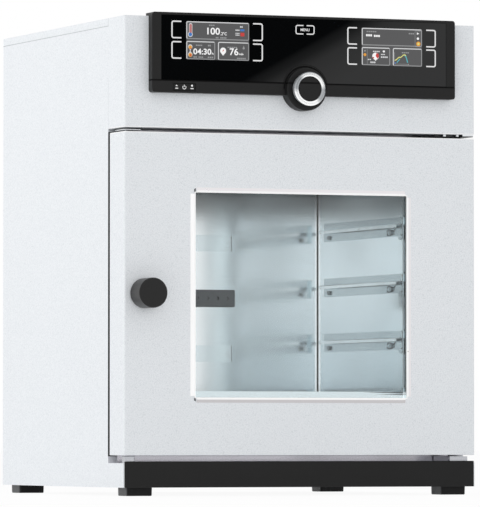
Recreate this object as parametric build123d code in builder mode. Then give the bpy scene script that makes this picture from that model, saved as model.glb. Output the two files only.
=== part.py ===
from build123d import *
import os

# A bench vacuum oven of about 49 litres: sheet casing, welded chamber, a door with a sight
# glass that hinges on the right, and a control panel with a turning dial above the door.
# Millimetres. X runs across the front, Y goes from the door to the rear, Z is up.
# The origin is on the floor, in the middle of the four feet. "Depth" below is measured
# from the front face of the door towards the rear.

# ---- driving dimensions: casing ----
cabinet_width = 550
cabinet_depth = 510
cabinet_height = 687
sheet = 1.5
body_face = 63          # depth at which the cabinet starts behind the door
foot_height = 12
foot_width = 40
foot_length = 36
foot_taper = 1.5
foot_inset_side = 9
foot_inset_end = 13
base_height = 35        # of the base tray, above the feet
base_sheet = 2
return_width = 14       # folded edges of the casing sheets
plinth_height = 37.5
plinth_inset = 1.5
lid_skirt = 12
fascia_height = 160
edge_radius = 3         # upright bends of the door and the fascia
fold_radius = 1         # sharp bends of their front edges

# ---- driving dimensions: door ----
door_gap_below = 8.5    # from the plinth to the door
door_gap_above = 6      # from the door to the fascia
door_thickness = 58
window_width = 331
window_height = 294
window_drop = 1.5       # window centre below the door's centre
trim_bevel = 4.6
trim_rise = 1.5
trim_flat = 2.8
trim_leg = 1.2
trim_relief = 2
pane_thickness = 4
pane_lap = 9
glass_thickness = 15
glass_lap = 23.5        # inner glass beyond the chamber opening, each side
liner_lap = 5
cushion_thickness = 2
spacer_clearance = 24   # spacer frame wider than the window, each side
spacer_flange = 13
sill_height = 9         # strip behind the lower edge of the window
hinge_inset = 15        # hinge axis from the cabinet's right side
hinge_depth = 25
hinge_pin_radius = 4
hinge_fit = 0.05
hinge_block_size = 24
hinge_block_height = 18
hinge_pin_length = 15
knob_inset = 30         # knob axis from the cabinet's left side
knob_radius = 21.5
knob_length = 40
shaft_radius = 5
shaft_fit = 0.05
bearing_wall = 3
crossbar_length = 26
crossbar_width = 8
crossbar_thickness = 6
keeper_thickness = 3
keeper_clearance = 2

upper_plate = 3.5       # thickness of the hinge plate under the fascia
plate_width = 52
plate_overhang = 8      # of the plate beyond the hinge axis
plate_front = 12        # plate behind the door's front face
ear_width = 18
ear_offset = 5          # ear centre beyond the hinge axis
ear_front = 1
plate_screw_radius = 3.5
plate_screw_height = 1.5
plate_screw_inset = 12  # first screw from the hinge axis
plate_screw_pitch = 21
plate_screw_depth = 18
lower_block_width = 29
lower_block_offset = 9
lower_block_front = 4
lower_block_step = 2    # pin collar above the block
pin_collar = 3
glide_width = 15
glide_depth = 16
glide_inset = 4         # from the cabinet's left side
glide_front = 4
glide_clearance = 0.5
knob_clear = 1.5        # knob in front of the door
shaft_in_knob = 24
insulation_gap = 1

# ---- driving dimensions: chamber ----
chamber_side_margin = 82.5      # from the chamber opening to the cabinet's side
chamber_door_margin = 39        # from the chamber opening to the door's top and bottom
chamber_depth = 330
chamber_wall = 4
flange_width = 20
flange_thickness = 11
gasket_inset = 6        # from the chamber opening to the seal
gasket_width = 10
seal_gap = 0.1
insulation_thickness = 52       # at the sides and the rear
insulation_top = 34     # above and below
mat_thickness = 3
mat_margin = 40
rail_levels = 4
rail_pitch = 83.6
first_rail = 48.5       # lowest ledge above the chamber floor
rail_height = 28
rail_drop = 2.5         # middle of the rail's plate below its ledge
rail_ledge = 12
rail_sheet = 1.5
rail_bend = 1.2         # outer radius of the ledge's folds
rail_front = 4          # rail end behind the chamber opening
rail_length = 294
rail_standoff = 2.5
rail_corner = 4
rail_stud_radius = 2
rail_stud_head = 3
rail_stud_height = 2.5
rail_stud_front = 36    # studs from the rail's front and rear ends
rail_stud_rear = 24
rail_stud_drop = 10.5   # studs below the ledge
rail_stud_fit = 0.3
clip_hub = 4            # spring clip over the front stud
clip_wire = 1.4
clip_reach = 18
clip_spread = 4.5
clip_thickness = 0.8
tab_width = 14          # rounded tab under the plate's front end
tab_drop = 6
ledge_inset = 6         # ledge shorter than its plate at the rear
ledge_lip = 5
notch_radius_ledge = 1.8
notch_count = 4
notch_pitch = 73
notch_rear = 14         # rearmost notch from the rail's rear end
socket_drop = 19        # sockets below the rail ledges
cover_width = 101
cover_height = 25
cover_thickness = 1
cover_screw_radius = 2.5
cover_screw_height = 1.2
cover_screw_inset = 6
socket_width = 106.5
socket_height = 26
socket_block_depth = 8
socket_holes = 6
socket_hole_pitch = 16
socket_hole_radius = 3
socket_hole_depth = 5
socket_level = 3        # the level whose socket is open, counted from the lowest

# ---- driving dimensions: rear connections ----
flange_bore = 8         # radii of a 16 mm small flange
flange_rim = 15
flange_neck = 10
flange_rim_thickness = 3
flange_taper = 1.5
stub_reach = 40         # beyond the rear panel
stub_spacing = 90
stub_middle = -90       # middle of the pair, across from the oven's centre
stub_drop = 60          # stubs below the chamber's top
inlet_width = 48
inlet_height = 31
inlet_depth = 24
inlet_cavity_width = 24.5
inlet_cavity_height = 16.5
inlet_cavity_depth = 17
inlet_rim = 2           # in front of the rear panel
inlet_shell = 3
inlet_key_chamfer = 4
inlet_side = 90         # inlet centre from the cabinet's right side
inlet_rise = 95         # above the base
blade_width = 2
blade_height = 4
blade_pitch = 7
blade_stagger = 2
blade_sunk = 3          # blade tips inside the mouth
slot_columns = 18
slot_pitch = 13
slot_height = 46
slot_width = 5
slot_row_drops = (75, 130)      # slot rows below the top of the rear panel
casing_screw_radius = 4
casing_screw_height = 2
casing_screw_end = 30   # from the panel's top and bottom to the outer screws
screw_rows = 4

# ---- driving dimensions: electronics above the chamber ----
deck_rise = 2           # deck above the fascia's lower edge
board_thickness = 1.6
post_radius = 3
post_height = 8
post_inset = 10
power_board_width = 220
power_board_depth = 160
power_board_side = 95   # from the board to the cabinet's right side
supply_width = 60
supply_depth = 50
supply_offset = (-50, 30)       # from the middle of the board
sink_width = 18
sink_depth = 34
sink_pitch = 26
sink_offset = (50, 30)
supply_height = 28
capacitor_radius = 8
capacitor_height = 20
capacitor_pitch = 24
capacitor_offset = (10, -40)
valve_side = 125        # valve centre from the cabinet's left side
valve_back = 195        # and from the rear
valve_base_width = 90
valve_base_depth = 44
valve_base_height = 30
coil_width = 30
coil_depth = 36
coil_height = 46
coil_pitch = 44

# ---- driving dimensions: control panel ----
panel_width = 475
panel_height = 115
panel_rise = 5          # above the fascia's top
panel_depth = 14        # in front of the fascia
panel_lip = 21          # over the fascia's top
panel_radius = 4
panel_wall = 4
glass_margin = 14.5
glass_top_margin = 4
glass_bottom_margin = 18.5
glass_sheet = 2
glass_fit = 0.5         # groove between the glass and its seat
boss_radius = 31
boss_depth = 20
boss_drop = 101         # dial centre below the fascia's top
notch_gap = 5           # glass edge around the boss
ring_radius = 24.5
ring_length = 11
ring_gap = 2
button_radius = 18
button_fit = 0.3
button_travel = 1.2
stem_radius = 5
spigot_radius = 9
spigot_fit = 0.08
spigot_length = 14
encoder_size = 22
encoder_depth = 10
display_width = 98
display_height = 56
display_offset = 137    # display centre from the dial axis
display_depth = 6
display_rise = 74       # display centre above the panel's lower edge
key_width = 34
key_height = 10.5
key_inset = 49.5        # key centre from the panel's left end
key_rise = 8            # key centre above the panel's lower edge
key_fit = 0.3
key_travel = 1
key_sunk = 0.5          # key face behind the housing's face
key_flange = 2
board_clearance = 2
board_post_inset = 10   # inside the panel's hollow
chip_size = 30
chip_pitch = 110
chip_rise = 5           # above the board's middle
chip_depth = 10
switch_width = 8

# ---- levels and places worked out from them ----
side = cabinet_width / 2
rear = cabinet_depth
base_top = foot_height + base_height
plinth_top = foot_height + plinth_height
door_bottom = plinth_top + door_gap_below
fascia_bottom = cabinet_height - fascia_height
door_top = fascia_bottom - door_gap_above
door_height = door_top - door_bottom
door_middle = (door_bottom + door_top) / 2
window_middle = door_middle - window_drop
casing_top = cabinet_height - lid_skirt
hinge_x = side - hinge_inset
knob_x = knob_inset - side
chamber_width = cabinet_width - 2 * chamber_side_margin
chamber_height = door_height - 2 * chamber_door_margin
chamber_bottom = door_bottom + chamber_door_margin
chamber_outer_width = chamber_width + 2 * chamber_wall
chamber_outer_height = chamber_height + 2 * chamber_wall
chamber_rear = body_face + chamber_depth + chamber_wall
liner_front = door_thickness - sheet
glass_front = liner_front - glass_thickness
door_glass_width = chamber_width + 2 * glass_lap
door_glass_height = chamber_height + 2 * glass_lap
spacer_rear = glass_front - cushion_thickness
spacer_width = window_width + 2 * spacer_clearance
spacer_height = window_height + 2 * spacer_clearance
pane_rear = sheet + pane_thickness
dial_z = cabinet_height - boss_drop
panel_top = cabinet_height + panel_rise
panel_bottom = panel_top - panel_height
glass_bottom = panel_bottom + glass_bottom_margin
glass_top = panel_top - glass_top_margin
display_z = panel_bottom + display_rise
key_x = key_inset - panel_width / 2
key_z = panel_bottom + key_rise
boss_bore = spigot_radius + spigot_fit
spigot_end = spigot_length - boss_depth
encoder_front = spigot_end + button_travel + 0.5


def facing(depth):
    """The upright plane at this depth, looking out of the front."""
    return Plane.XZ.offset(cabinet_depth / 2 - depth)


def frame_sketch(outer_width, outer_height, inner_width, inner_height, middle):
    """Rectangular ring about the upright centre line."""
    with Locations((0, middle)):
        Rectangle(outer_width, outer_height)
        Rectangle(inner_width, inner_height, mode=Mode.SUBTRACT)


def save(name, part):
    part.label = name
    export_step(part, "parts/" + name + ".step")


os.makedirs("parts", exist_ok=True)


# ---- base, plinth and feet ----
base_beam_depth = body_face
tray_rear = rear - sheet
with BuildPart() as base_frame:
    with BuildSketch(Plane.XY.offset(foot_height)):
        with Locations((0, (base_beam_depth + sheet) / 2 - cabinet_depth / 2)):
            Rectangle(cabinet_width, base_beam_depth - sheet)
        with Locations((0, (base_beam_depth + tray_rear) / 2 - cabinet_depth / 2)):
            Rectangle(cabinet_width - 2 * sheet, tray_rear - base_beam_depth)
    extrude(amount=base_height)
    with BuildSketch(Plane.XY.offset(foot_height + base_sheet)):
        with Locations((0, (sheet + tray_rear) / 2 - cabinet_depth / 2)):
            Rectangle(cabinet_width - 2 * sheet - 2 * base_sheet,
                      tray_rear - sheet - 2 * base_sheet)
    extrude(amount=base_height - 2 * base_sheet, mode=Mode.SUBTRACT)
    with BuildSketch(Plane.XY.offset(base_top - base_sheet)):
        with Locations((0, (base_beam_depth + tray_rear - base_sheet) / 2 - cabinet_depth / 2)):
            Rectangle(cabinet_width - 2 * sheet - 2 * base_sheet,
                      tray_rear - base_sheet - base_beam_depth)
    extrude(amount=base_sheet, mode=Mode.SUBTRACT)
save("base_frame", base_frame.part)

with BuildPart() as plinth_cover:
    with BuildSketch(facing(sheet)):
        with Locations((0, foot_height + plinth_height / 2)):
            RectangleRounded(cabinet_width - 2 * plinth_inset, plinth_height, 1)
    extrude(amount=sheet)
    chamfer(plinth_cover.faces().sort_by(Axis.Y)[0].edges(), sheet / 3)
save("plinth_cover", plinth_cover.part)

foot_x = side - foot_inset_side - foot_width / 2
foot_y = cabinet_depth / 2 - foot_inset_end - foot_length / 2
for side_name, x_sign in (("left", -1), ("right", 1)):
    for end_name, y_sign in (("front", -1), ("rear", 1)):
        with BuildPart() as foot:
            with BuildSketch(Plane.XY.offset(foot_height)):
                with Locations((x_sign * foot_x, y_sign * foot_y)):
                    RectangleRounded(foot_width, foot_length, 3)
            extrude(amount=-foot_height, taper=foot_taper)
            chamfer(foot.faces().sort_by(Axis.Z)[0].edges(), 1)
        save("foot_" + end_name + "_" + side_name, foot.part)


# ---- casing sheets ----
panel_y = (body_face + rear - sheet) / 2 - cabinet_depth / 2
for side_name, x_sign in (("left", -1), ("right", 1)):
    with BuildPart() as side_panel:
        with BuildSketch(Plane.XY.offset(foot_height)):
            with Locations((x_sign * (side - return_width / 2), panel_y)):
                Rectangle(return_width, rear - sheet - body_face)
            with Locations((x_sign * (side - sheet - return_width / 2), panel_y)):
                Rectangle(return_width, rear - 3 * sheet - body_face, mode=Mode.SUBTRACT)
        extrude(amount=casing_top - foot_height)
        # the front and rear folds stop above the base tray, which sits inside them
        with BuildSketch(Plane.XY.offset(foot_height)):
            with Locations((x_sign * (side - sheet - return_width / 2), panel_y)):
                Rectangle(return_width, rear - sheet - body_face)
        extrude(amount=base_height, mode=Mode.SUBTRACT)
    save("side_panel_" + side_name, side_panel.part)

inlet_x = side - inlet_side
inlet_z = foot_height + inlet_rise
inlet_hole_clearance = 0.5
stub_hole_clearance = 1
stub_z = chamber_bottom + chamber_height - stub_drop
stub_places = [(stub_middle - stub_spacing / 2, stub_z), (stub_middle + stub_spacing / 2, stub_z)]
with BuildPart() as rear_panel:
    with BuildSketch(facing(rear)):
        with Locations((0, (foot_height + casing_top) / 2)):
            Rectangle(cabinet_width, casing_top - foot_height)
        with Locations(*stub_places):
            Circle(flange_neck + stub_hole_clearance, mode=Mode.SUBTRACT)
        with Locations((inlet_x, inlet_z)):
            Rectangle(inlet_cavity_width + 2 * inlet_shell + 2 * inlet_hole_clearance,
                      inlet_cavity_height + 2 * inlet_shell + 2 * inlet_hole_clearance,
                      mode=Mode.SUBTRACT)
        for drop in slot_row_drops:
            with Locations((0, casing_top - drop)):
                with GridLocations(slot_pitch, 1, slot_columns, 1):
                    SlotOverall(slot_height, slot_width, rotation=90, mode=Mode.SUBTRACT)
    extrude(amount=sheet)
save("rear_panel", rear_panel.part)

with BuildPart() as lid:
    with BuildSketch(Plane.XY.offset(casing_top)):
        with Locations((0, (body_face + rear) / 2 - cabinet_depth / 2)):
            Rectangle(cabinet_width, rear - body_face)
    extrude(amount=lid_skirt)
    fillet(lid.edges().filter_by(Axis.Y).group_by(Axis.Z)[-1], 1)
    with BuildSketch(Plane.XY.offset(casing_top)):
        with Locations((0, (body_face + rear - sheet) / 2 - cabinet_depth / 2)):
            Rectangle(cabinet_width - 2 * sheet, rear - sheet - body_face)
    extrude(amount=lid_skirt - sheet, mode=Mode.SUBTRACT)
save("lid", lid.part)


# ---- front frame with the slot for the door latch ----
slot_reach = crossbar_length / 2 + keeper_clearance
slot_half = shaft_radius + keeper_clearance
flange_outer_width = chamber_width + 2 * flange_width
flange_outer_height = chamber_height + 2 * flange_width
frame_slot_margin = 2
with BuildPart() as front_frame:
    with BuildSketch(facing(body_face + 2 * sheet)):
        with Locations((0, (base_top + casing_top) / 2)):
            Rectangle(cabinet_width - 2 * sheet, casing_top - base_top)
        with Locations((0, door_middle)):
            Rectangle(flange_outer_width, flange_outer_height, mode=Mode.SUBTRACT)
        with Locations((knob_x, door_middle)):
            SlotOverall(2 * (slot_reach + frame_slot_margin), 2 * (slot_half + frame_slot_margin),
                        rotation=90, mode=Mode.SUBTRACT)
    extrude(amount=sheet)
save("front_frame", front_frame.part)

keeper_front = body_face + 2 * sheet
with BuildPart() as latch_keeper:
    with BuildSketch(facing(keeper_front + keeper_thickness)):
        with Locations((knob_x, door_middle)):
            RectangleRounded(2 * slot_half + 24, 2 * slot_reach + 20, 3)
            SlotOverall(2 * slot_reach, 2 * slot_half, rotation=90, mode=Mode.SUBTRACT)
    extrude(amount=keeper_thickness)
save("latch_keeper", latch_keeper.part)


# ---- chamber, mouth flange, seal, heaters and insulation ----
with BuildPart() as vacuum_chamber:
    with BuildSketch(facing(body_face + flange_thickness)):
        with Locations((0, door_middle)):
            Rectangle(chamber_outer_width, chamber_outer_height)
    extrude(amount=-(chamber_depth + chamber_wall - flange_thickness))
    with BuildSketch(facing(body_face + flange_thickness)):
        with Locations((0, door_middle)):
            Rectangle(chamber_width, chamber_height)
    extrude(amount=-(chamber_depth - flange_thickness), mode=Mode.SUBTRACT)
    with BuildSketch(facing(chamber_rear)):
        with Locations(*stub_places):
            Circle(flange_neck)
    extrude(amount=chamber_wall, mode=Mode.SUBTRACT)
save("vacuum_chamber", vacuum_chamber.part)

with BuildPart() as chamber_flange:
    with BuildSketch(facing(body_face + flange_thickness)):
        frame_sketch(flange_outer_width, flange_outer_height,
                     chamber_width, chamber_height, door_middle)
    extrude(amount=flange_thickness)
    inner_edges = chamber_flange.faces().sort_by(Axis.Y)[0].inner_wires()[0].edges()
    fillet(inner_edges, 2)
save("chamber_flange", chamber_flange.part)

gasket_outer_width = chamber_width + 2 * (gasket_inset + gasket_width)
gasket_outer_height = chamber_height + 2 * (gasket_inset + gasket_width)
gasket_front = liner_front + seal_gap
with BuildPart() as door_gasket:
    with BuildSketch(facing(body_face)):
        frame_sketch(gasket_outer_width, gasket_outer_height, chamber_width + 2 * gasket_inset,
                     chamber_height + 2 * gasket_inset, door_middle)
    extrude(amount=body_face - gasket_front)
    fillet(door_gasket.faces().sort_by(Axis.Y)[0].edges(), 2)
save("door_gasket", door_gasket.part)

mat_y = (body_face + flange_thickness + chamber_rear) / 2 - cabinet_depth / 2
mat_depth = chamber_depth - 2 * mat_margin
with BuildPart() as heater_mats:
    for angle, across, out in ((0, chamber_outer_height, chamber_outer_width),
                               (90, chamber_outer_width, chamber_outer_height),
                               (180, chamber_outer_height, chamber_outer_width),
                               (270, chamber_outer_width, chamber_outer_height)):
        wall = Plane((0, mat_y, door_middle), x_dir=(0, 1, 0),
                     z_dir=Vector(1, 0, 0).rotate(Axis.Y, angle))
        with BuildSketch(wall.offset(out / 2)):
            RectangleRounded(mat_depth, across - 2 * mat_margin, 8)
        extrude(amount=mat_thickness)
save("heater_mats", heater_mats.part)

insulation_front = body_face + 2 * flange_thickness
insulation_rear = chamber_rear + insulation_thickness
insulation_width = chamber_outer_width + 2 * insulation_thickness
insulation_height = chamber_outer_height + 2 * insulation_top
with BuildPart() as insulation_jacket:
    with BuildSketch(facing(insulation_front)):
        with Locations((0, door_middle)):
            Rectangle(insulation_width, insulation_height)
    extrude(amount=-(insulation_rear - insulation_front))
    with BuildSketch(facing(insulation_front)):
        with Locations((0, door_middle)):
            Rectangle(chamber_outer_width + 2 * mat_thickness,
                      chamber_outer_height + 2 * mat_thickness)
    extrude(amount=-(chamber_rear - insulation_front), mode=Mode.SUBTRACT)
    with BuildSketch(facing(insulation_rear)):
        with Locations(*stub_places):
            Circle(flange_neck)
    extrude(amount=insulation_thickness, mode=Mode.SUBTRACT)
save("insulation_jacket", insulation_jacket.part)


# ---- shelf rails: a plate with a folded, notched ledge, hung on two studs in the wall ----
rail_y = body_face + rail_front + rail_length / 2 - cabinet_depth / 2
front_stud = rail_stud_front - rail_length / 2
rear_stud = rail_length / 2 - rail_stud_rear
last_notch = rail_length / 2 - notch_rear
tab_place = (tab_width - rail_length) / 2
for side_name, x_sign in (("left", -1), ("right", 1)):
    wall_x = x_sign * (chamber_width / 2 - rail_standoff)
    lip_x = wall_x - x_sign * (rail_ledge - rail_sheet)
    for level in range(rail_levels):
        ledge_z = chamber_bottom + first_rail + level * rail_pitch
        plate_plane = Plane((wall_x, rail_y, ledge_z), x_dir=(0, 1, 0), z_dir=(-x_sign, 0, 0))
        lip_plane = Plane((lip_x, rail_y, ledge_z), x_dir=(0, 1, 0), z_dir=(-x_sign, 0, 0))
        # the plate's local y runs up on one side of the chamber and down on the other
        up = 1 if plate_plane.y_dir.Z > 0 else -1
        stud_y = -up * rail_stud_drop
        plate_foot = -up * (rail_drop + rail_height / 2)
        with BuildPart() as rail:
            with BuildSketch(plate_plane):
                with Locations((0, -up * rail_drop)):
                    RectangleRounded(rail_length, rail_height, rail_corner)
                with Locations((tab_place, plate_foot)):
                    RectangleRounded(tab_width, 2 * tab_drop, tab_drop - 0.5)
                with Locations((front_stud, stud_y), (rear_stud, stud_y)):
                    Circle(rail_stud_radius + rail_stud_fit, mode=Mode.SUBTRACT)
            extrude(amount=rail_sheet)
            # the ledge and its lip, folded down and notched along the lower edge
            with BuildSketch(Plane.XY.offset(ledge_z - rail_sheet / 2)):
                with Locations((wall_x - x_sign * rail_ledge / 2, rail_y - ledge_inset / 2)):
                    Rectangle(rail_ledge, rail_length - ledge_inset)
            extrude(amount=rail_sheet)
            with BuildSketch(lip_plane):
                with Locations((-ledge_inset / 2, -up * (ledge_lip - rail_sheet) / 2)):
                    Rectangle(rail_length - ledge_inset, ledge_lip)
                with Locations(*[(last_notch - step * notch_pitch,
                                  -up * (ledge_lip - rail_sheet / 2))
                                 for step in range(notch_count)]):
                    Circle(notch_radius_ledge, mode=Mode.SUBTRACT)
            extrude(amount=rail_sheet)
            fillet(rail.edges().filter_by(Axis.Y).sort_by_distance(
                (lip_x - x_sign * rail_sheet, rail_y, ledge_z + rail_sheet / 2))[0], rail_bend)
            # spring clip lying on the plate, its hub round the front stud
            with BuildSketch(plate_plane.offset(rail_sheet)):
                with Locations((front_stud, stud_y)):
                    Circle(clip_hub)
                with BuildLine():
                    for turn in (-1, 1):
                        ThreePointArc((front_stud + clip_hub / 2, stud_y + turn * clip_hub / 2),
                                      (front_stud + clip_reach * 0.6, stud_y + turn * clip_spread),
                                      (front_stud + clip_reach, stud_y + turn * clip_spread / 3))
                    Line((front_stud, stud_y),
                         (front_stud - clip_reach * 0.7, stud_y + up * clip_spread))
                trace(line_width=clip_wire)
                with Locations((front_stud, stud_y)):
                    Circle(rail_stud_radius + rail_stud_fit, mode=Mode.SUBTRACT)
            extrude(amount=clip_thickness)
        save("shelf_rail_" + side_name + "_" + str(level + 1), rail.part)

with BuildPart() as rail_screws:
    for x_sign in (-1, 1):
        wall = Plane((x_sign * chamber_width / 2, rail_y,
                      chamber_bottom + first_rail - rail_stud_drop),
                     x_dir=(0, 1, 0), z_dir=(-x_sign, 0, 0))
        up = 1 if wall.y_dir.Z > 0 else -1
        places = [(along, up * level * rail_pitch)
                  for along in (front_stud, rear_stud) for level in range(rail_levels)]
        # each stud has a shoulder behind the plate and a head in front of it
        with BuildSketch(wall):
            with Locations(*places):
                Circle(rail_stud_head)
        extrude(amount=rail_standoff)
        with BuildSketch(wall):
            with Locations(*places):
                Circle(rail_stud_radius)
        extrude(amount=rail_standoff + rail_sheet + clip_thickness)
        with BuildSketch(wall.offset(rail_standoff + rail_sheet + clip_thickness)):
            with Locations(*places):
                Circle(rail_stud_head)
        extrude(amount=rail_stud_height)
save("rail_screws", rail_screws.part)

rear_wall = body_face + chamber_depth
socket_levels = [chamber_bottom + first_rail - socket_drop + level * rail_pitch
                 for level in range(rail_levels)]
with BuildPart() as socket_covers:
    for level in range(rail_levels):
        if level + 1 != socket_level:
            with BuildSketch(facing(rear_wall)):
                with Locations((0, socket_levels[level])):
                    RectangleRounded(cover_width, cover_height, 2)
            extrude(amount=cover_thickness)
            with BuildSketch(facing(rear_wall - cover_thickness)):
                with Locations((0, socket_levels[level])):
                    with GridLocations(cover_width - 2 * cover_screw_inset, 1, 2, 1):
                        Circle(cover_screw_radius)
            extrude(amount=cover_screw_height)
save("socket_covers", socket_covers.part)

# ---- the open shelf socket: a block with a row of contact holes ----
with BuildPart() as shelf_socket:
    with BuildSketch(facing(rear_wall)):
        with Locations((0, socket_levels[socket_level - 1])):
            RectangleRounded(socket_width, socket_height, 2)
    extrude(amount=socket_block_depth)
    chamfer(shelf_socket.faces().sort_by(Axis.Y)[0].edges(), 1)
    with BuildSketch(facing(rear_wall - socket_block_depth)):
        with Locations((0, socket_levels[socket_level - 1])):
            with GridLocations(socket_hole_pitch, 1, socket_holes, 1):
                Circle(socket_hole_radius)
    extrude(amount=-socket_hole_depth, mode=Mode.SUBTRACT)
save("shelf_socket", shelf_socket.part)


# ---- small flange stubs through the rear wall: vacuum and gas inlet ----
def flange_stub(name, x):
    """Turned tube with a 16 mm small flange at its outer end."""
    tip = rear + stub_reach
    start = rear_wall
    profile = Plane((x, start - cabinet_depth / 2, stub_z), x_dir=(0, 1, 0), z_dir=(1, 0, 0))
    reach = tip - start
    up = profile.y_dir.Z
    with BuildPart() as stub:
        with BuildSketch(profile):
            with BuildLine():
                Polyline((0, up * flange_bore), (reach, up * flange_bore),
                         (reach, up * flange_rim),
                         (reach - flange_rim_thickness, up * flange_rim),
                         (reach - flange_rim_thickness - flange_taper, up * flange_neck),
                         (0, up * flange_neck), close=True)
            make_face()
        revolve(axis=Axis((x, start - cabinet_depth / 2, stub_z), (0, 1, 0)))
    save(name, stub.part)


flange_stub("vacuum_stub", stub_places[0][0])
flange_stub("gas_inlet_stub", stub_places[1][0])


# ---- mains inlet with three blades ----
with BuildPart() as power_inlet:
    with BuildSketch(facing(rear + inlet_rim)):
        with Locations((inlet_x, inlet_z)):
            RectangleRounded(inlet_width, inlet_height, 3)
    extrude(amount=inlet_rim)
    with BuildSketch(facing(rear)):
        with Locations((inlet_x, inlet_z)):
            Rectangle(inlet_cavity_width + 2 * inlet_shell, inlet_cavity_height + 2 * inlet_shell)
    extrude(amount=inlet_depth)
    with BuildSketch(facing(rear + inlet_rim)) as cavity:
        with Locations((inlet_x, inlet_z)):
            Rectangle(inlet_cavity_width, inlet_cavity_height)
        chamfer(cavity.vertices().group_by(Axis.Z)[-1], inlet_key_chamfer)
    extrude(amount=inlet_cavity_depth, mode=Mode.SUBTRACT)
    with BuildSketch(facing(rear + inlet_rim - inlet_cavity_depth)):
        with Locations((inlet_x - blade_pitch, inlet_z - blade_stagger),
                       (inlet_x, inlet_z + blade_stagger),
                       (inlet_x + blade_pitch, inlet_z - blade_stagger)):
            Rectangle(blade_width, blade_height)
    extrude(amount=-(inlet_cavity_depth - blade_sunk))
save("power_inlet", power_inlet.part)


# ---- electronics above the chamber ----
deck_z = fascia_bottom + deck_rise
with BuildPart() as electronics_deck:
    with BuildSketch(Plane.XY.offset(deck_z)):
        with Locations((0, (body_face + rear) / 2 - cabinet_depth / 2)):
            Rectangle(cabinet_width - 2 * sheet, rear - body_face - 4 * sheet)
    extrude(amount=sheet)
save("electronics_deck", electronics_deck.part)

deck_top = deck_z + sheet
board_top = deck_top + post_height + board_thickness
board_x = side - power_board_side - power_board_width / 2
with BuildPart() as power_board:
    with BuildSketch(Plane.XY.offset(deck_top)):
        with Locations((board_x, 0)):
            with GridLocations(power_board_width - 2 * post_inset,
                               power_board_depth - 2 * post_inset, 2, 2):
                Circle(post_radius)
    extrude(amount=post_height)
    with BuildSketch(Plane.XY.offset(deck_top + post_height)):
        with Locations((board_x, 0)):
            Rectangle(power_board_width, power_board_depth)
    extrude(amount=board_thickness)
    with BuildSketch(Plane.XY.offset(board_top)):
        with Locations((board_x + supply_offset[0], supply_offset[1])):
            Rectangle(supply_width, supply_depth)
        with Locations((board_x + sink_offset[0], sink_offset[1])):
            with GridLocations(sink_pitch, 1, 3, 1):
                Rectangle(sink_width, sink_depth)
    extrude(amount=supply_height)
    with BuildSketch(Plane.XY.offset(board_top)):
        with Locations((board_x + capacitor_offset[0], capacitor_offset[1])):
            with GridLocations(capacitor_pitch, capacitor_pitch, 4, 2):
                Circle(capacitor_radius)
    extrude(amount=capacitor_height)
save("power_board", power_board.part)

valve_x = valve_side - side
valve_y = cabinet_depth / 2 - valve_back
with BuildPart() as valve_block:
    with BuildSketch(Plane.XY.offset(deck_top)):
        with Locations((valve_x, valve_y)):
            RectangleRounded(valve_base_width, valve_base_depth, 4)
    extrude(amount=valve_base_height)
    with BuildSketch(Plane.XY.offset(deck_top + valve_base_height)):
        with Locations((valve_x, valve_y)):
            with GridLocations(coil_pitch, 1, 2, 1):
                RectangleRounded(coil_width, coil_depth, 3)
    extrude(amount=coil_height)
save("valve_block", valve_block.part)


# ---- fascia: the sheet box above the door, cut out behind the control panel ----
panel_middle = (panel_bottom + panel_top) / 2
cutout_margin = 25
with BuildPart() as fascia_box:
    with BuildSketch(facing(body_face)):
        with Locations((0, fascia_bottom + fascia_height / 2)):
            Rectangle(cabinet_width, fascia_height)
    extrude(amount=body_face)
    fillet(fascia_box.edges().filter_by(Axis.Z).group_by(Axis.Y)[0], edge_radius)
    fillet(fascia_box.edges().filter_by(Axis.X).group_by(Axis.Y)[0], fold_radius)
    with BuildSketch(facing(body_face)):
        with Locations((0, fascia_bottom + fascia_height / 2)):
            Rectangle(cabinet_width - 2 * sheet, fascia_height - 2 * sheet)
    extrude(amount=body_face - sheet, mode=Mode.SUBTRACT)
    with BuildSketch(facing(sheet)):
        with Locations((0, panel_middle)):
            Rectangle(panel_width - 2 * cutout_margin, panel_height - 2 * cutout_margin)
        with Locations((0, dial_z)):
            Circle(boss_radius - panel_wall, mode=Mode.ADD)
    extrude(amount=sheet, mode=Mode.SUBTRACT)
save("fascia_box", fascia_box.part)


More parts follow.
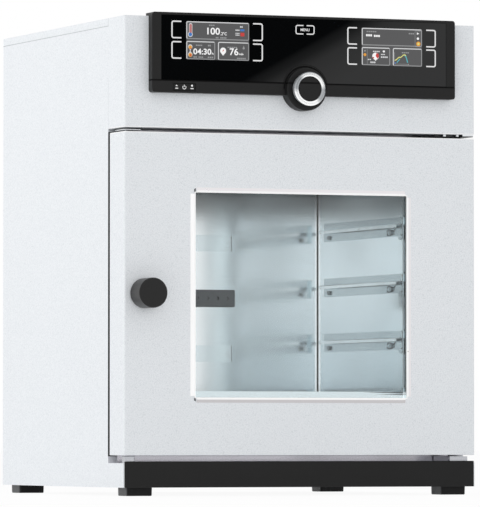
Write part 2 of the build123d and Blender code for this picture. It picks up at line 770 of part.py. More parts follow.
# ---- control panel: a moulded housing with a lip over the fascia and a boss for the dial ----
glass_width = panel_width - 2 * glass_margin
cavity_width = panel_width - 2 * panel_wall
cavity_height = panel_height - 2 * panel_wall - panel_rise
glass_middle = (glass_bottom + glass_top) / 2
notch_radius = boss_radius + notch_gap
with BuildPart() as cockpit_housing:
    with BuildSketch(facing(0)):
        with Locations((0, panel_middle)):
            RectangleRounded(panel_width, panel_height, panel_radius)
    extrude(amount=panel_depth)
    with BuildSketch(facing(0)):
        with Locations((0, dial_z)):
            Circle(boss_radius)
    extrude(amount=boss_depth)
    with BuildSketch(facing(panel_lip)):
        with Locations((0, cabinet_height + panel_rise / 2)):
            Rectangle(panel_width - 2 * panel_radius, panel_rise)
    extrude(amount=panel_lip)
    fillet(cockpit_housing.faces().sort_by(Axis.Y)[0].edges(), 1.5)
    # hollow behind, leaving the boss solid for the dial's bearing
    with BuildSketch(facing(0)):
        with Locations((0, panel_middle)):
            Rectangle(cavity_width, cavity_height)
        with Locations((0, dial_z)):
            Circle(boss_radius, mode=Mode.SUBTRACT)
    extrude(amount=panel_depth - panel_wall, mode=Mode.SUBTRACT)
    # shallow seat for the glass, round the boss, and the two display windows through it
    with BuildSketch(facing(-panel_depth)):
        with Locations((0, glass_middle)):
            Rectangle(glass_width + 2 * glass_fit, glass_top - glass_bottom + 2 * glass_fit)
        with Locations((0, dial_z)):
            Circle(notch_radius - glass_fit, mode=Mode.SUBTRACT)
    extrude(amount=-glass_sheet, mode=Mode.SUBTRACT)
    with BuildSketch(facing(-panel_depth)):
        with Locations((-display_offset, display_z), (display_offset, display_z)):
            Rectangle(display_width, display_height)
    extrude(amount=-panel_depth, mode=Mode.SUBTRACT)
    # bore for the dial's spigot, pocket for its encoder and opening for the on key
    with BuildSketch(facing(0)):
        with Locations((0, dial_z)):
            Rectangle(encoder_size + 1, encoder_size + 1)
    extrude(amount=-encoder_front, mode=Mode.SUBTRACT)
    with BuildSketch(facing(-boss_depth)):
        with Locations((0, dial_z)):
            Circle(boss_bore)
    extrude(amount=-boss_depth, mode=Mode.SUBTRACT)
    with BuildSketch(facing(-panel_depth)):
        with Locations((key_x, key_z)):
            Rectangle(key_width + 2 * key_fit, key_height + 2 * key_fit)
    extrude(amount=-panel_depth, mode=Mode.SUBTRACT)
    with BuildSketch(facing(0)):
        with Locations((key_x, key_z)):
            Rectangle(key_width + 2 * key_flange + 2 * key_fit, key_height + 2 * key_fit)
    extrude(amount=panel_depth - panel_wall, mode=Mode.SUBTRACT)
save("cockpit_housing", cockpit_housing.part)

with BuildPart() as control_glass:
    with BuildSketch(facing(glass_sheet - panel_depth)):
        with Locations((0, glass_middle)):
            Rectangle(glass_width, glass_top - glass_bottom)
        with Locations((0, dial_z)):
            Circle(notch_radius, mode=Mode.SUBTRACT)
    extrude(amount=glass_sheet)
save("control_glass", control_glass.part)

for side_name, x_sign in (("left", -1), ("right", 1)):
    with BuildPart() as display:
        with BuildSketch(facing(glass_sheet - panel_depth)):
            with Locations((x_sign * display_offset, display_z)):
                Rectangle(display_width, display_height)
        extrude(amount=-display_depth)
    save("display_" + side_name, display.part)

# circuit board inside the housing, round the boss, on posts, with the on key's switch
wall_back = panel_wall - panel_depth
key_back = wall_back + key_flange
board_back = -board_clearance
board_front = board_back - board_thickness
with BuildPart() as control_board:
    with BuildSketch(facing(board_back)):
        with Locations((0, panel_middle)):
            Rectangle(cavity_width - 2 * board_clearance, cavity_height - 2 * board_clearance)
        with Locations((0, dial_z)):
            Circle(boss_radius + board_clearance, mode=Mode.SUBTRACT)
    extrude(amount=board_thickness)
    with BuildSketch(facing(board_front)):
        with Locations((0, panel_middle)):
            with GridLocations(cavity_width - 2 * board_post_inset,
                               cavity_height - 2 * board_post_inset, 2, 2):
                Circle(post_radius)
    extrude(amount=board_front - wall_back)
    with BuildSketch(facing(board_front)):
        with Locations((key_x, key_z + key_height / 4)):
            Rectangle(switch_width, key_height / 2)
    extrude(amount=board_front - key_back - key_travel - 0.1)
    with BuildSketch(facing(board_back)):
        with Locations((0, panel_middle + chip_rise)):
            with GridLocations(chip_pitch, 1, 3, 1):
                Rectangle(chip_size, chip_size)
    extrude(amount=-chip_depth)
save("control_board", control_board.part)


# ---- dial: a ring that turns on a hollow spigot, with a key pressed through its middle ----
ring_back = -boss_depth - ring_gap
ring_front = ring_back - ring_length
dial_plane = Plane((0, ring_front - cabinet_depth / 2, dial_z), x_dir=(0, 1, 0), z_dir=(-1, 0, 0))
dial_axis = Axis((0, -cabinet_depth / 2, dial_z), (0, 1, 0))
ring_inner = button_radius + button_fit
with BuildPart() as dial_ring:
    with BuildSketch(dial_plane):
        with BuildLine():
            Polyline((ring_length, stem_radius + spigot_fit), (ring_length, ring_radius - 1.5),
                     (1.5, ring_radius), (0, ring_radius - 2), (0, ring_inner + 2),
                     (1.2, ring_inner), (ring_length - 3, ring_inner),
                     (ring_length - 3, stem_radius + spigot_fit), close=True)
        make_face()
    revolve(axis=dial_axis)
    with BuildSketch(facing(ring_back)):
        with Locations((0, dial_z)):
            Circle(spigot_radius)
            Circle(stem_radius + spigot_fit, mode=Mode.SUBTRACT)
    extrude(amount=-(spigot_end - ring_back))
save("dial_ring", dial_ring.part)

button_front = ring_front + 1.5
button_thickness = ring_length - 3 - 1.5 - button_travel - 0.3
with BuildPart() as dial_button:
    with BuildSketch(facing(button_front + button_thickness)):
        with Locations((0, dial_z)):
            Circle(button_radius)
    extrude(amount=button_thickness)
    chamfer(dial_button.faces().sort_by(Axis.Y)[0].edges(), 0.8)
    with BuildSketch(facing(button_front + button_thickness)):
        with Locations((0, dial_z)):
            Circle(stem_radius)
    extrude(amount=-(spigot_end - button_front - button_thickness))
save("dial_button", dial_button.part)

with BuildPart() as dial_encoder:
    with BuildSketch(facing(encoder_front)):
        with Locations((0, dial_z)):
            RectangleRounded(encoder_size, encoder_size, 2)
    extrude(amount=-encoder_depth)
save("dial_encoder", dial_encoder.part)

with BuildPart() as power_key:
    with BuildSketch(facing(key_back)):
        with Locations((key_x, key_z)):
            RectangleRounded(key_width, key_height, 1.5)
    extrude(amount=panel_wall + key_flange - key_sunk)
    chamfer(power_key.faces().sort_by(Axis.Y)[0].edges(), 0.5)
    # the flange that keeps the key behind the housing's wall
    with BuildSketch(facing(key_back)):
        with Locations((key_x, key_z)):
            Rectangle(key_width + 2 * key_flange, key_height - 2)
    extrude(amount=key_flange)
save("power_key", power_key.part)


# ---- door: folded shell, window trim, panes, spacer, insulation and liner ----
opening_width = window_width + 2 * trim_leg
opening_height = window_height + 2 * trim_leg
block_x = hinge_x
block_y = hinge_depth - cabinet_depth / 2
with BuildPart() as door_shell:
    with BuildSketch(facing(liner_front)):
        with Locations((0, door_middle)):
            Rectangle(cabinet_width, door_height)
    extrude(amount=liner_front)
    fillet(door_shell.edges().filter_by(Axis.Z).group_by(Axis.Y)[0], edge_radius)
    fillet(door_shell.edges().filter_by(Axis.X).group_by(Axis.Y)[0], fold_radius)
    with BuildSketch(facing(liner_front)):
        with Locations((0, door_middle)):
            Rectangle(cabinet_width - 2 * sheet, door_height - 2 * sheet)
    extrude(amount=liner_front - sheet, mode=Mode.SUBTRACT)
    with BuildSketch(facing(sheet)):
        with Locations((0, window_middle)):
            Rectangle(opening_width, opening_height)
        with Locations((knob_x, door_middle)):
            Circle(shaft_radius + bearing_wall)
    extrude(amount=sheet, mode=Mode.SUBTRACT)
    with BuildSketch(Plane.XY.offset(door_bottom)):
        with Locations((block_x, block_y)):
            Circle(hinge_pin_radius + 2)
    extrude(amount=door_height, mode=Mode.SUBTRACT)
save("door_shell", door_shell.part)

with BuildPart() as door_liner:
    with BuildSketch(facing(door_thickness)):
        frame_sketch(cabinet_width, door_height, door_glass_width - 2 * liner_lap,
                     door_glass_height - 2 * liner_lap, door_middle)
        with Locations((knob_x, door_middle)):
            Circle(shaft_radius + bearing_wall, mode=Mode.SUBTRACT)
    extrude(amount=sheet)
save("door_liner", door_liner.part)

# the trim's four bevelled edges stop short of the corners, where its leg is left bare
with BuildPart() as window_frame:
    with BuildSketch(facing(sheet)):
        frame_sketch(opening_width, opening_height, window_width, window_height, window_middle)
    extrude(amount=sheet + trim_rise)
    for angle, span, length in ((0, window_height, window_width), (90, window_width, window_height),
                                (180, window_height, window_width), (270, window_width, window_height)):
        outward = Vector(0, 0, 1).rotate(Axis.Y, angle)
        along = Vector(1, 0, 0).rotate(Axis.Y, angle)
        start = Vector(0, -cabinet_depth / 2, window_middle) + outward * (span / 2)
        edge_plane = Plane(start - along * (length / 2 - trim_relief), x_dir=outward, z_dir=along)
        front_sign = 1 if edge_plane.y_dir.Y < 0 else -1
        with BuildSketch(edge_plane):
            with BuildLine():
                Polyline((0, 0), (0, front_sign * trim_rise), (trim_flat, front_sign * trim_rise),
                         (trim_flat + trim_bevel, 0), close=True)
            make_face()
        extrude(amount=length - 2 * trim_relief)
save("window_frame", window_frame.part)

with BuildPart() as outer_pane:
    with BuildSketch(facing(pane_rear)):
        with Locations((0, window_middle)):
            Rectangle(window_width + 2 * pane_lap, window_height + 2 * pane_lap)
    extrude(amount=pane_thickness)
save("outer_pane", outer_pane.part)

with BuildPart() as spacer_frame:
    with BuildSketch(facing(spacer_rear)):
        frame_sketch(spacer_width + 2 * sheet, spacer_height + 2 * sheet,
                     spacer_width, spacer_height, window_middle)
    extrude(amount=spacer_rear - pane_rear)
    with BuildSketch(facing(pane_rear + sheet)):
        frame_sketch(spacer_width + 2 * sheet, spacer_height + 2 * sheet,
                     window_width + pane_lap, window_height + pane_lap, window_middle)
        with Locations((0, window_middle - window_height / 2 - pane_lap / 2)):
            Rectangle(spacer_width, 2 * sill_height + pane_lap)
    extrude(amount=sheet)
    with BuildSketch(facing(spacer_rear)):
        frame_sketch(spacer_width + 2 * spacer_flange, spacer_height + 2 * spacer_flange,
                     spacer_width, spacer_height, window_middle)
    extrude(amount=sheet)
save("spacer_frame", spacer_frame.part)

with BuildPart() as glass_cushion:
    with BuildSketch(facing(glass_front)):
        frame_sketch(spacer_width + 2 * spacer_flange, spacer_height + 2 * spacer_flange,
                     spacer_width, spacer_height, window_middle)
    extrude(amount=cushion_thickness)
save("glass_cushion", glass_cushion.part)

with BuildPart() as inner_glass:
    with BuildSketch(facing(liner_front)):
        with Locations((0, door_middle)):
            Rectangle(door_glass_width, door_glass_height)
    extrude(amount=glass_thickness)
save("inner_glass", inner_glass.part)

tube_radius = shaft_radius + bearing_wall
with BuildPart() as door_insulation:
    with BuildSketch(facing(spacer_rear - sheet)):
        with Locations((0, door_middle)):
            Rectangle(cabinet_width - 2 * sheet, door_height - 2 * sheet)
        with Locations((0, window_middle)):
            Rectangle(spacer_width + 2 * sheet + insulation_gap,
                      spacer_height + 2 * sheet + insulation_gap, mode=Mode.SUBTRACT)
        with Locations((knob_x, door_middle)):
            Circle(tube_radius, mode=Mode.SUBTRACT)
    extrude(amount=spacer_rear - 2 * sheet)
    with BuildSketch(Plane.XY.offset(door_bottom)):
        with Locations((block_x, block_y)):
            Rectangle(hinge_block_size, 2 * hinge_block_size)
    extrude(amount=hinge_block_height + sheet, mode=Mode.SUBTRACT)
    with BuildSketch(Plane.XY.offset(door_top)):
        with Locations((block_x, block_y)):
            Rectangle(hinge_block_size, 2 * hinge_block_size)
    extrude(amount=-hinge_block_height - sheet, mode=Mode.SUBTRACT)
save("door_insulation", door_insulation.part)

with BuildPart() as door_hinge_blocks:
    for level in (door_bottom + sheet, door_top - sheet - hinge_block_height):
        with BuildSketch(Plane.XY.offset(level)):
            with Locations((block_x, block_y)):
                Rectangle(hinge_block_size, hinge_block_size)
                Circle(hinge_pin_radius + hinge_fit, mode=Mode.SUBTRACT)
        extrude(amount=hinge_block_height)
save("door_hinge_blocks", door_hinge_blocks.part)

with BuildPart() as knob_bearing:
    with BuildSketch(facing(door_thickness)):
        with Locations((knob_x, door_middle)):
            Circle(tube_radius)
            Circle(shaft_radius + shaft_fit, mode=Mode.SUBTRACT)
    extrude(amount=door_thickness)
save("knob_bearing", knob_bearing.part)


# ---- door knob with its shaft and the cross bar that locks behind the keeper ----
knob_plane = Plane((knob_x, -cabinet_depth / 2, door_middle), x_dir=(0, 1, 0), z_dir=(-1, 0, 0))
knob_axis = Axis((knob_x, -cabinet_depth / 2, door_middle), (0, 1, 0))
with BuildPart() as door_knob:
    with BuildSketch(knob_plane):
        with BuildLine():
            Polyline((-shaft_in_knob, 0), (-knob_length, 0),
                     (-knob_length, knob_radius - 1.5), (-knob_length + 1.5, knob_radius),
                     (-knob_clear - 2, knob_radius), (-knob_clear, knob_radius - 2),
                     (-knob_clear, shaft_radius), (-shaft_in_knob, shaft_radius), close=True)
        make_face()
    revolve(axis=knob_axis)
save("door_knob", door_knob.part)

crossbar_front = keeper_front + keeper_thickness + 1
with BuildPart() as latch_shaft:
    with BuildSketch(facing(crossbar_front + crossbar_thickness)):
        with Locations((knob_x, door_middle)):
            Circle(shaft_radius)
    extrude(amount=crossbar_front + crossbar_thickness + shaft_in_knob)
    with BuildSketch(facing(crossbar_front + crossbar_thickness)):
        with Locations((knob_x, door_middle)):
            SlotOverall(crossbar_length, crossbar_width, rotation=90)
    extrude(amount=crossbar_thickness)
    chamfer(latch_shaft.faces().sort_by(Axis.Y)[-1].edges(), 0.8)
save("latch_shaft", latch_shaft.part)


# ---- hinges: a plate under the fascia and a block on the base, each with its pin ----
with BuildPart() as upper_hinge:
    with BuildSketch(Plane.XY.offset(fascia_bottom)):
        with Locations((hinge_x + plate_overhang - plate_width / 2,
                        (plate_front + body_face) / 2 - cabinet_depth / 2)):
            RectangleRounded(plate_width, body_face - plate_front, 2)
        with Locations((hinge_x + ear_offset, (ear_front + body_face) / 2 - cabinet_depth / 2)):
            RectangleRounded(ear_width, body_face - ear_front, 2)
    extrude(amount=-upper_plate)
    with BuildSketch(Plane.XY.offset(fascia_bottom - upper_plate)):
        with Locations((hinge_x - plate_screw_inset, plate_screw_depth - cabinet_depth / 2),
                       (hinge_x - plate_screw_inset - plate_screw_pitch,
                        plate_screw_depth - cabinet_depth / 2)):
            Circle(plate_screw_radius)
    extrude(amount=-plate_screw_height)
    with BuildSketch(Plane.XY.offset(fascia_bottom - upper_plate)):
        with Locations((block_x, block_y)):
            Circle(hinge_pin_radius)
    extrude(amount=-(door_gap_above - upper_plate + hinge_pin_length))
save("upper_hinge", upper_hinge.part)

lower_block = door_bottom - base_top
with BuildPart() as lower_hinge:
    with BuildSketch(Plane.XY.offset(base_top)):
        with Locations((hinge_x - lower_block_offset,
                        (lower_block_front + body_face) / 2 - cabinet_depth / 2)):
            RectangleRounded(lower_block_width, body_face - lower_block_front, 2)
    extrude(amount=lower_block - lower_block_step)
    with BuildSketch(Plane.XY.offset(base_top)):
        with Locations((block_x, block_y)):
            Circle(hinge_pin_radius + pin_collar)
    extrude(amount=lower_block)
    with BuildSketch(Plane.XY.offset(door_bottom)):
        with Locations((block_x, block_y)):
            Circle(hinge_pin_radius)
    extrude(amount=hinge_pin_length)
save("lower_hinge", lower_hinge.part)

with BuildPart() as door_glide:
    with BuildSketch(Plane.XY.offset(base_top)):
        with Locations((glide_inset + glide_width / 2 - side,
                        glide_front + glide_depth / 2 - cabinet_depth / 2)):
            RectangleRounded(glide_width, glide_depth, 3)
    extrude(amount=lower_block - glide_clearance)
    chamfer(door_glide.faces().sort_by(Axis.Z)[-1].edges(), 1)
save("door_glide", door_glide.part)


# ---- screws that hold the rear panel ----
screw_pitch = (casing_top - foot_height - 2 * casing_screw_end) / (screw_rows - 1)
with BuildPart() as casing_screws:
    with BuildSketch(facing(rear)):
        with Locations((0, (foot_height + casing_top) / 2)):
            with GridLocations(cabinet_width - return_width, screw_pitch, 2, screw_rows):
                Circle(casing_screw_radius)
    extrude(amount=-casing_screw_height)
    chamfer(casing_screws.faces().group_by(Axis.Y)[-1].edges(), 0.8)
save("casing_screws", casing_screws.part)
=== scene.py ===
import math

import bmesh
import bpy
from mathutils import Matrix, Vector


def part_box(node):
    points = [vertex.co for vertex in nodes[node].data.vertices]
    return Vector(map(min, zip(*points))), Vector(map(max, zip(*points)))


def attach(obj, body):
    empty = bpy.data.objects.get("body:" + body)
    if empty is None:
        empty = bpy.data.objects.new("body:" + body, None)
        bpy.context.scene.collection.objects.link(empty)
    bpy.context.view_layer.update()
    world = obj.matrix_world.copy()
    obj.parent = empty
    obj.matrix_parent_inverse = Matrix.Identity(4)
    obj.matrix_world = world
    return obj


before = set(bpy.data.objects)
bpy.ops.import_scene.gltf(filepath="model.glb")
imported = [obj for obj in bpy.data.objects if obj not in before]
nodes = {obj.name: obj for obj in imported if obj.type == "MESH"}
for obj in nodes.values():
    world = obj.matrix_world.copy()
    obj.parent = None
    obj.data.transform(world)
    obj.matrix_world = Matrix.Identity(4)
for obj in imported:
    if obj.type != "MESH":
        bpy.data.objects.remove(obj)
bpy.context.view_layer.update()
print("oven loaded,", len(nodes), "pieces")


def tone(red, green, blue):  # a screen colour, 0 to 255, as the shader's linear one
    def linear(value):
        value = value / 255
        return value / 12.92 if value <= 0.04045 else ((value + 0.055) / 1.055) ** 2.4
    return (linear(red), linear(green), linear(blue), 1.0)


class Wire:  # a socket's value, so that shader sums can be written as Python ones
    def __init__(self, finish, socket):
        self.finish = finish
        self.socket = socket

    def sum(self, operation, first, second):
        return self.finish.math(operation, first, second)

    def __add__(self, other):
        return self.sum("ADD", self, other)

    def __radd__(self, other):
        return self.sum("ADD", other, self)

    def __sub__(self, other):
        return self.sum("SUBTRACT", self, other)

    def __rsub__(self, other):
        return self.sum("SUBTRACT", other, self)

    def __mul__(self, other):
        return self.sum("MULTIPLY", self, other)

    def __rmul__(self, other):
        return self.sum("MULTIPLY", other, self)

    def __truediv__(self, other):
        return self.sum("DIVIDE", self, other)

    def __gt__(self, other):
        return self.sum("GREATER_THAN", self, other)

    def __lt__(self, other):
        return self.sum("LESS_THAN", self, other)

    def size(self):  # without its sign
        return self.finish.math("ABSOLUTE", self)


class Finish:  # one material and the nodes in it
    def __init__(self, name, tree=None):
        if tree is None:
            self.material = bpy.data.materials.new(name)
            self.material.use_nodes = True
            tree = self.material.node_tree
        self.tree = tree
        self.tree.nodes.clear()

    def add(self, kind, settings=None, sockets=None, out=0):
        node = self.tree.nodes.new(kind)
        for key, value in (settings or {}).items():
            if key == "stops":
                ramp = node.color_ramp
                while len(ramp.elements) < len(value):
                    ramp.elements.new(0.5)
                for element, (place, colour) in zip(ramp.elements, value):
                    element.position = place
                    element.color = colour
            else:
                setattr(node, key, value)
        for key, value in (sockets or {}).items():
            if isinstance(value, Wire):
                self.tree.links.new(value.socket, node.inputs[key])
            else:
                node.inputs[key].default_value = value
        return Wire(self, node.outputs[out]) if node.outputs else None

    def math(self, operation, *values):
        return self.add("ShaderNodeMath", {"operation": operation}, dict(enumerate(values)))

    def parts(self, vector):  # a vector's x, y and z
        split = self.add("ShaderNodeSeparateXYZ", {}, {0: vector}).socket.node
        return [Wire(self, output) for output in split.outputs]

    def place(self):
        return self.add("ShaderNodeTexCoord", out="Object")

    def facing(self):
        return self.add("ShaderNodeTexCoord", out="Normal")

    def stretched(self, scale):
        return self.add("ShaderNodeMapping", {}, {"Vector": self.place(), "Scale": scale})

    def noise(self, scale, detail=2.0, rough=0.5, vector=None):
        return self.add("ShaderNodeTexNoise", {}, {
            "Vector": vector or self.place(), "Scale": scale, "Detail": detail, "Roughness": rough})

    def between(self, factor, low, high):  # two colours
        return self.add("ShaderNodeMix", {"data_type": "RGBA"}, {0: factor, 6: low, 7: high}, out=2)

    def spread(self, value, low, high, toLow, toHigh):
        return self.add("ShaderNodeMapRange", {}, {
            "Value": value, "From Min": low, "From Max": high, "To Min": toLow, "To Max": toHigh})

    def bump(self, height, strength, distance):
        return self.add("ShaderNodeBump", {}, {
            "Height": height, "Strength": strength, "Distance": distance})

    def surface(self, shader):
        self.add("ShaderNodeOutputMaterial", {}, {"Surface": shader})
        return self.material


# sheet steel with a fine textured satin coat
casingCoat = {
    "light": tone(238, 241, 244),
    "dark": tone(222, 226, 230),
    "fleck": tone(204, 209, 213),
    "grain": 620.0,
    "roughness": 0.46,
    "relief": 0.16,
}


def makeCasing(name, seam=None):  # seam: lines of painted shade in gaps and painted highlights on fold edges; axis, place, half width, strength, shade, lowest, highest
    f = Finish(name)
    grain = f.noise(casingCoat["grain"], 3.0, 0.62)
    cloud = f.noise(5.0, 2.0)
    base = f.between(f.spread(grain, 0.36, 0.64, 0.0, 1.0), casingCoat["dark"], casingCoat["light"])
    flecks = f.noise(casingCoat["grain"] * 0.8, 1.0) > 0.67
    base = f.between(flecks * 0.5, base, casingCoat["fleck"])
    if seam:
        spot = f.parts(f.place())
        for axis, place, half, strength, shade, low, high in seam:
            inside = (spot[axis] > place - half) * (spot[axis] < place + half)
            inside = inside * (spot[2] > low) * (spot[2] < high)
            base = f.between(inside * strength, base, shade)
    rough = f.spread(cloud, 0.3, 0.7, casingCoat["roughness"] - 0.04, casingCoat["roughness"] + 0.04)
    return f.surface(f.add("ShaderNodeBsdfPrincipled", {}, {
        "Base Color": base, "Roughness": rough, "Specular IOR Level": 0.35,
        "Normal": f.bump(grain, casingCoat["relief"], 0.0003)}))


# stainless sheet, brushed along one direction; an edge says from which X on it is darkened with painted
# shade
def makeBrushed(name, light, dark, rough, along, metallic=1.0, edge=None):
    f = Finish(name)
    stretch = [1.0 if axis == along else 90.0 for axis in range(3)]
    line = f.noise(14.0, 4.0, 0.6, f.stretched(stretch))
    cloud = f.noise(7.0, 2.0)
    base = f.between(f.spread(line, 0.3, 0.7, 0.0, 1.0), dark, light)
    if edge:
        across, deep, up = f.parts(f.place())
        base = f.between(across.size() > edge[0], base, edge[1])
    return f.surface(f.add("ShaderNodeBsdfPrincipled", {}, {
        "Base Color": base, "Metallic": metallic,
        "Roughness": f.spread(cloud, 0.3, 0.7, rough - 0.04, rough + 0.05),
        "Normal": f.bump(line, 0.05, 0.0002)}))


# the frame and cushion between the panes: their sides glow, painted light standing in for the light
# that falls through the glass
rimLight = {"sideFrom": 0.1625, "fade": (0.405, 0.462), "spacer": 0.45, "cushion": 0.10,
            "streak": tone(66, 74, 78), "streaks": ((0.1488, 0.098, 0.021), (0.1460, 0.118, 0.019)),
            "streakDepth": 0.85, "sill": tone(220, 231, 234), "sillUpTo": 0.1508}


def makeRim(name, light, dark, rough, metallic, glow):
    f = Finish(name)
    line = f.noise(60.0, 3.0, 0.6)
    across, deep, up = f.parts(f.place())
    # painted light: the sides glow, fading out towards the top
    side = (across.size() > rimLight["sideFrom"]) * f.spread(up, *rimLight["fade"], 1.0, 0.0)
    base = f.between(f.spread(line, 0.3, 0.7, 0.0, 1.0), dark, light)
    base = f.between(up < rimLight["sillUpTo"], base, rimLight["sill"])
    for height, start, taper in rimLight["streaks"]:  # two thin painted shadows that widen to the right
        inside = (up - height).size() < (across - start) * taper
        base = f.between(inside * rimLight["streakDepth"], base, rimLight["streak"])
    return f.surface(f.add("ShaderNodeBsdfPrincipled", {}, {
        "Base Color": base, "Metallic": metallic,
        "Roughness": f.spread(line, 0.3, 0.7, rough - 0.03, rough + 0.04),
        "Emission Color": f.between(side, (0.0, 0.0, 0.0, 1.0), (glow * 0.93, glow, glow * 1.01, 1.0)),
        "Emission Strength": 1.0}))


# the chamber's walls: satin sheet, with painted shade in the groove down each rear corner and a painted
# highlight beside it
chamberSheet = {
    "light": tone(239, 245, 247),
    "dark": tone(230, 238, 241),
    "seam": tone(38, 42, 44),
    "shine": tone(252, 254, 255),
    "low": tone(206, 218, 223),
    "paintedShadeUpTo": 0.30,
    "metallic": 1.0,
    "roughness": 0.15,
    "corner": (0.1925, 0.138),  # the rear corners' X and Y
    "slant": 0.43,
    "paintedLightFrom": 0.045,          # painted light: to the left of this X it pales
    "paintedLightTo": -0.015,
    "seamShadeWidth": 0.0015,
    "shineWidth": 0.0046,
}


def makeChamber():
    f = Finish("chamberSteel")
    line = f.noise(14.0, 4.0, 0.6, f.stretched([1.0, 90.0, 90.0]))
    cloud = f.noise(7.0, 2.0)
    base = f.between(f.spread(line, 0.3, 0.7, 0.0, 1.0), chamberSheet["dark"], chamberSheet["light"])
    across, deep, up = f.parts(f.place())
    reach = (chamberSheet["corner"][0] - across.size()
             + (chamberSheet["corner"][1] - deep) * chamberSheet["slant"])
    # painted shade: darker towards the bottom
    base = f.between(f.spread(up, chamberSheet["paintedShadeUpTo"], 0.1, 0.0, 0.9), base, chamberSheet["low"])
    # painted light: paler towards the left
    base = f.between(f.spread(across, chamberSheet["paintedLightFrom"], chamberSheet["paintedLightTo"], 0.0, 1.0), base,
                     (1.0, 1.0, 1.0, 1.0))
    # painted highlight beside each rear corner's groove, then painted shade in the groove
    base = f.between((reach < chamberSheet["shineWidth"]) * 0.8, base, chamberSheet["shine"])
    base = f.between((reach < chamberSheet["seamShadeWidth"]) * 0.95, base, chamberSheet["seam"])
    return f.surface(f.add("ShaderNodeBsdfPrincipled", {}, {
        "Base Color": base, "Metallic": chamberSheet["metallic"],
        "Roughness": f.spread(cloud, 0.3, 0.7, chamberSheet["roughness"] - 0.04,
                              chamberSheet["roughness"] + 0.05),
        "Normal": f.bump(line, 0.05, 0.0002)}))


# the mouth's flange: light at the rear of its inner edge, and darker toward the glass with painted
# shade
mouth = {"light": tone(236, 243, 245), "dark": tone(120, 132, 137), "darkFrom": -0.1865,
         "roughness": 0.18}


def makeMouth():
    f = Finish("mouthSteel")
    line = f.noise(14.0, 4.0, 0.6, f.stretched([90.0, 90.0, 1.0]))
    across, deep, up = f.parts(f.place())
    # painted shade: the part toward the glass is darker
    rear = f.spread(deep, mouth["darkFrom"] - 0.0005, mouth["darkFrom"] + 0.0005, 0.0, 1.0)
    return f.surface(f.add("ShaderNodeBsdfPrincipled", {}, {
        "Base Color": f.between(rear, mouth["dark"], mouth["light"]), "Metallic": rear * -0.75 + 1.0,
        "Roughness": mouth["roughness"],
        "Normal": f.bump(line, 0.05, 0.0002)}))


# blank plates over the unused shelf sockets: the wall's satin sheet with a fine rim of painted shade
coverPlate = {"face": tone(234, 241, 243), "rimShade": tone(96, 104, 108), "half": (0.0505, 0.014),
              "rimWidth": 0.0009, "level": 0.1265, "pitch": 0.0836}


def makeCover():
    f = Finish("coverSteel")
    cloud = f.noise(7.0, 2.0)
    across, deep, up = f.parts(f.place())
    pitch = coverPlate["pitch"]
    above = f.math("FLOORED_MODULO", up - coverPlate["level"] + pitch / 2, pitch) - pitch / 2
    rimShade = f.math("MAXIMUM", across.size() > coverPlate["half"][0] - coverPlate["rimWidth"],
                 above.size() > coverPlate["half"][1] - coverPlate["rimWidth"])
    return f.surface(f.add("ShaderNodeBsdfPrincipled", {}, {
        "Base Color": f.between(rimShade, coverPlate["face"], coverPlate["rimShade"]), "Metallic": 1.0,
        "Roughness": f.spread(cloud, 0.3, 0.7, 0.12, 0.2)}))


# the window's trim: painted light and shade on one steel; the flat next to the pane and the left bevel
# bright, the top and right bevels duller and the bottom bevel darker
trimSteel = {
    "bright": tone(255, 255, 255),
    "bevel": tone(236, 233, 235),
    "shadedLowBevel": tone(203, 200, 202),
    "flat": (0.1684, 0.1500),
    "middle": 0.288,
    "metallic": 0.6,
    "roughness": 0.3,
}


def makeTrim():
    f = Finish("trimSteel")
    line = f.noise(40.0, 3.0, 0.6)
    across, deep, up = f.parts(f.place())
    above = up - trimSteel["middle"]
    # painted light and shade: each bevel tinted by the side it is on
    base = f.between(across > trimSteel["flat"][0], trimSteel["bright"], trimSteel["bevel"])
    base = f.between(above > trimSteel["flat"][1], base, trimSteel["bevel"])
    base = f.between(above < -trimSteel["flat"][1], base, trimSteel["shadedLowBevel"])
    return f.surface(f.add("ShaderNodeBsdfPrincipled", {}, {
        "Base Color": base, "Metallic": trimSteel["metallic"],
        "Roughness": f.spread(line, 0.3, 0.7, trimSteel["roughness"] - 0.03,
                              trimSteel["roughness"] + 0.04)}))


# turned chrome ring: painted reflections as light and grey sectors round its axis and a duller outer
# edge up and to the right, and sides painted a plain, less metallic grey in place of their reflection
dialChrome = {"bright": tone(254, 255, 255), "grey": tone(172, 175, 178), "edge": tone(128, 131, 134),
              "reflectionLobe": 67.0, "edgeFrom": 0.0231, "edgeAway": 247.0, "roughness": 0.16,
              "side": tone(198, 201, 204), "sideMetallic": 0.25, "sideFrom": 0.4}


def makeDial(centre):
    f = Finish("dialChrome")
    across, deep, up = f.parts(f.add("ShaderNodeMapping", {}, {
        "Vector": f.place(), "Location": (-centre[0], 0.0, -centre[2])}))
    angle = f.math("ARCTAN2", up, across)
    reflectionLobe = f.math("COSINE", angle * 2.0 - math.radians(2 * dialChrome["reflectionLobe"]))
    away = f.math("COSINE", angle - math.radians(dialChrome["edgeAway"]))
    radius = f.math("SQRT", across * across + up * up)
    # painted reflection: light and grey sectors, a darker outer edge, and plain grey sides
    base = f.between(f.spread(reflectionLobe, -0.25, -0.75, 0.0, 1.0), dialChrome["bright"], dialChrome["grey"])
    base = f.between((radius > dialChrome["edgeFrom"]) * f.spread(away, 0.3, -0.2, 0.0, 1.0), base,
                     dialChrome["edge"])
    side = f.parts(f.facing())[1].size() < dialChrome["sideFrom"]
    base = f.between(side, base, dialChrome["side"])
    return f.surface(f.add("ShaderNodeBsdfPrincipled", {}, {
        "Base Color": base, "Metallic": f.spread(side, 0.0, 1.0, 1.0, dialChrome["sideMetallic"]),
        "Roughness": dialChrome["roughness"]}))


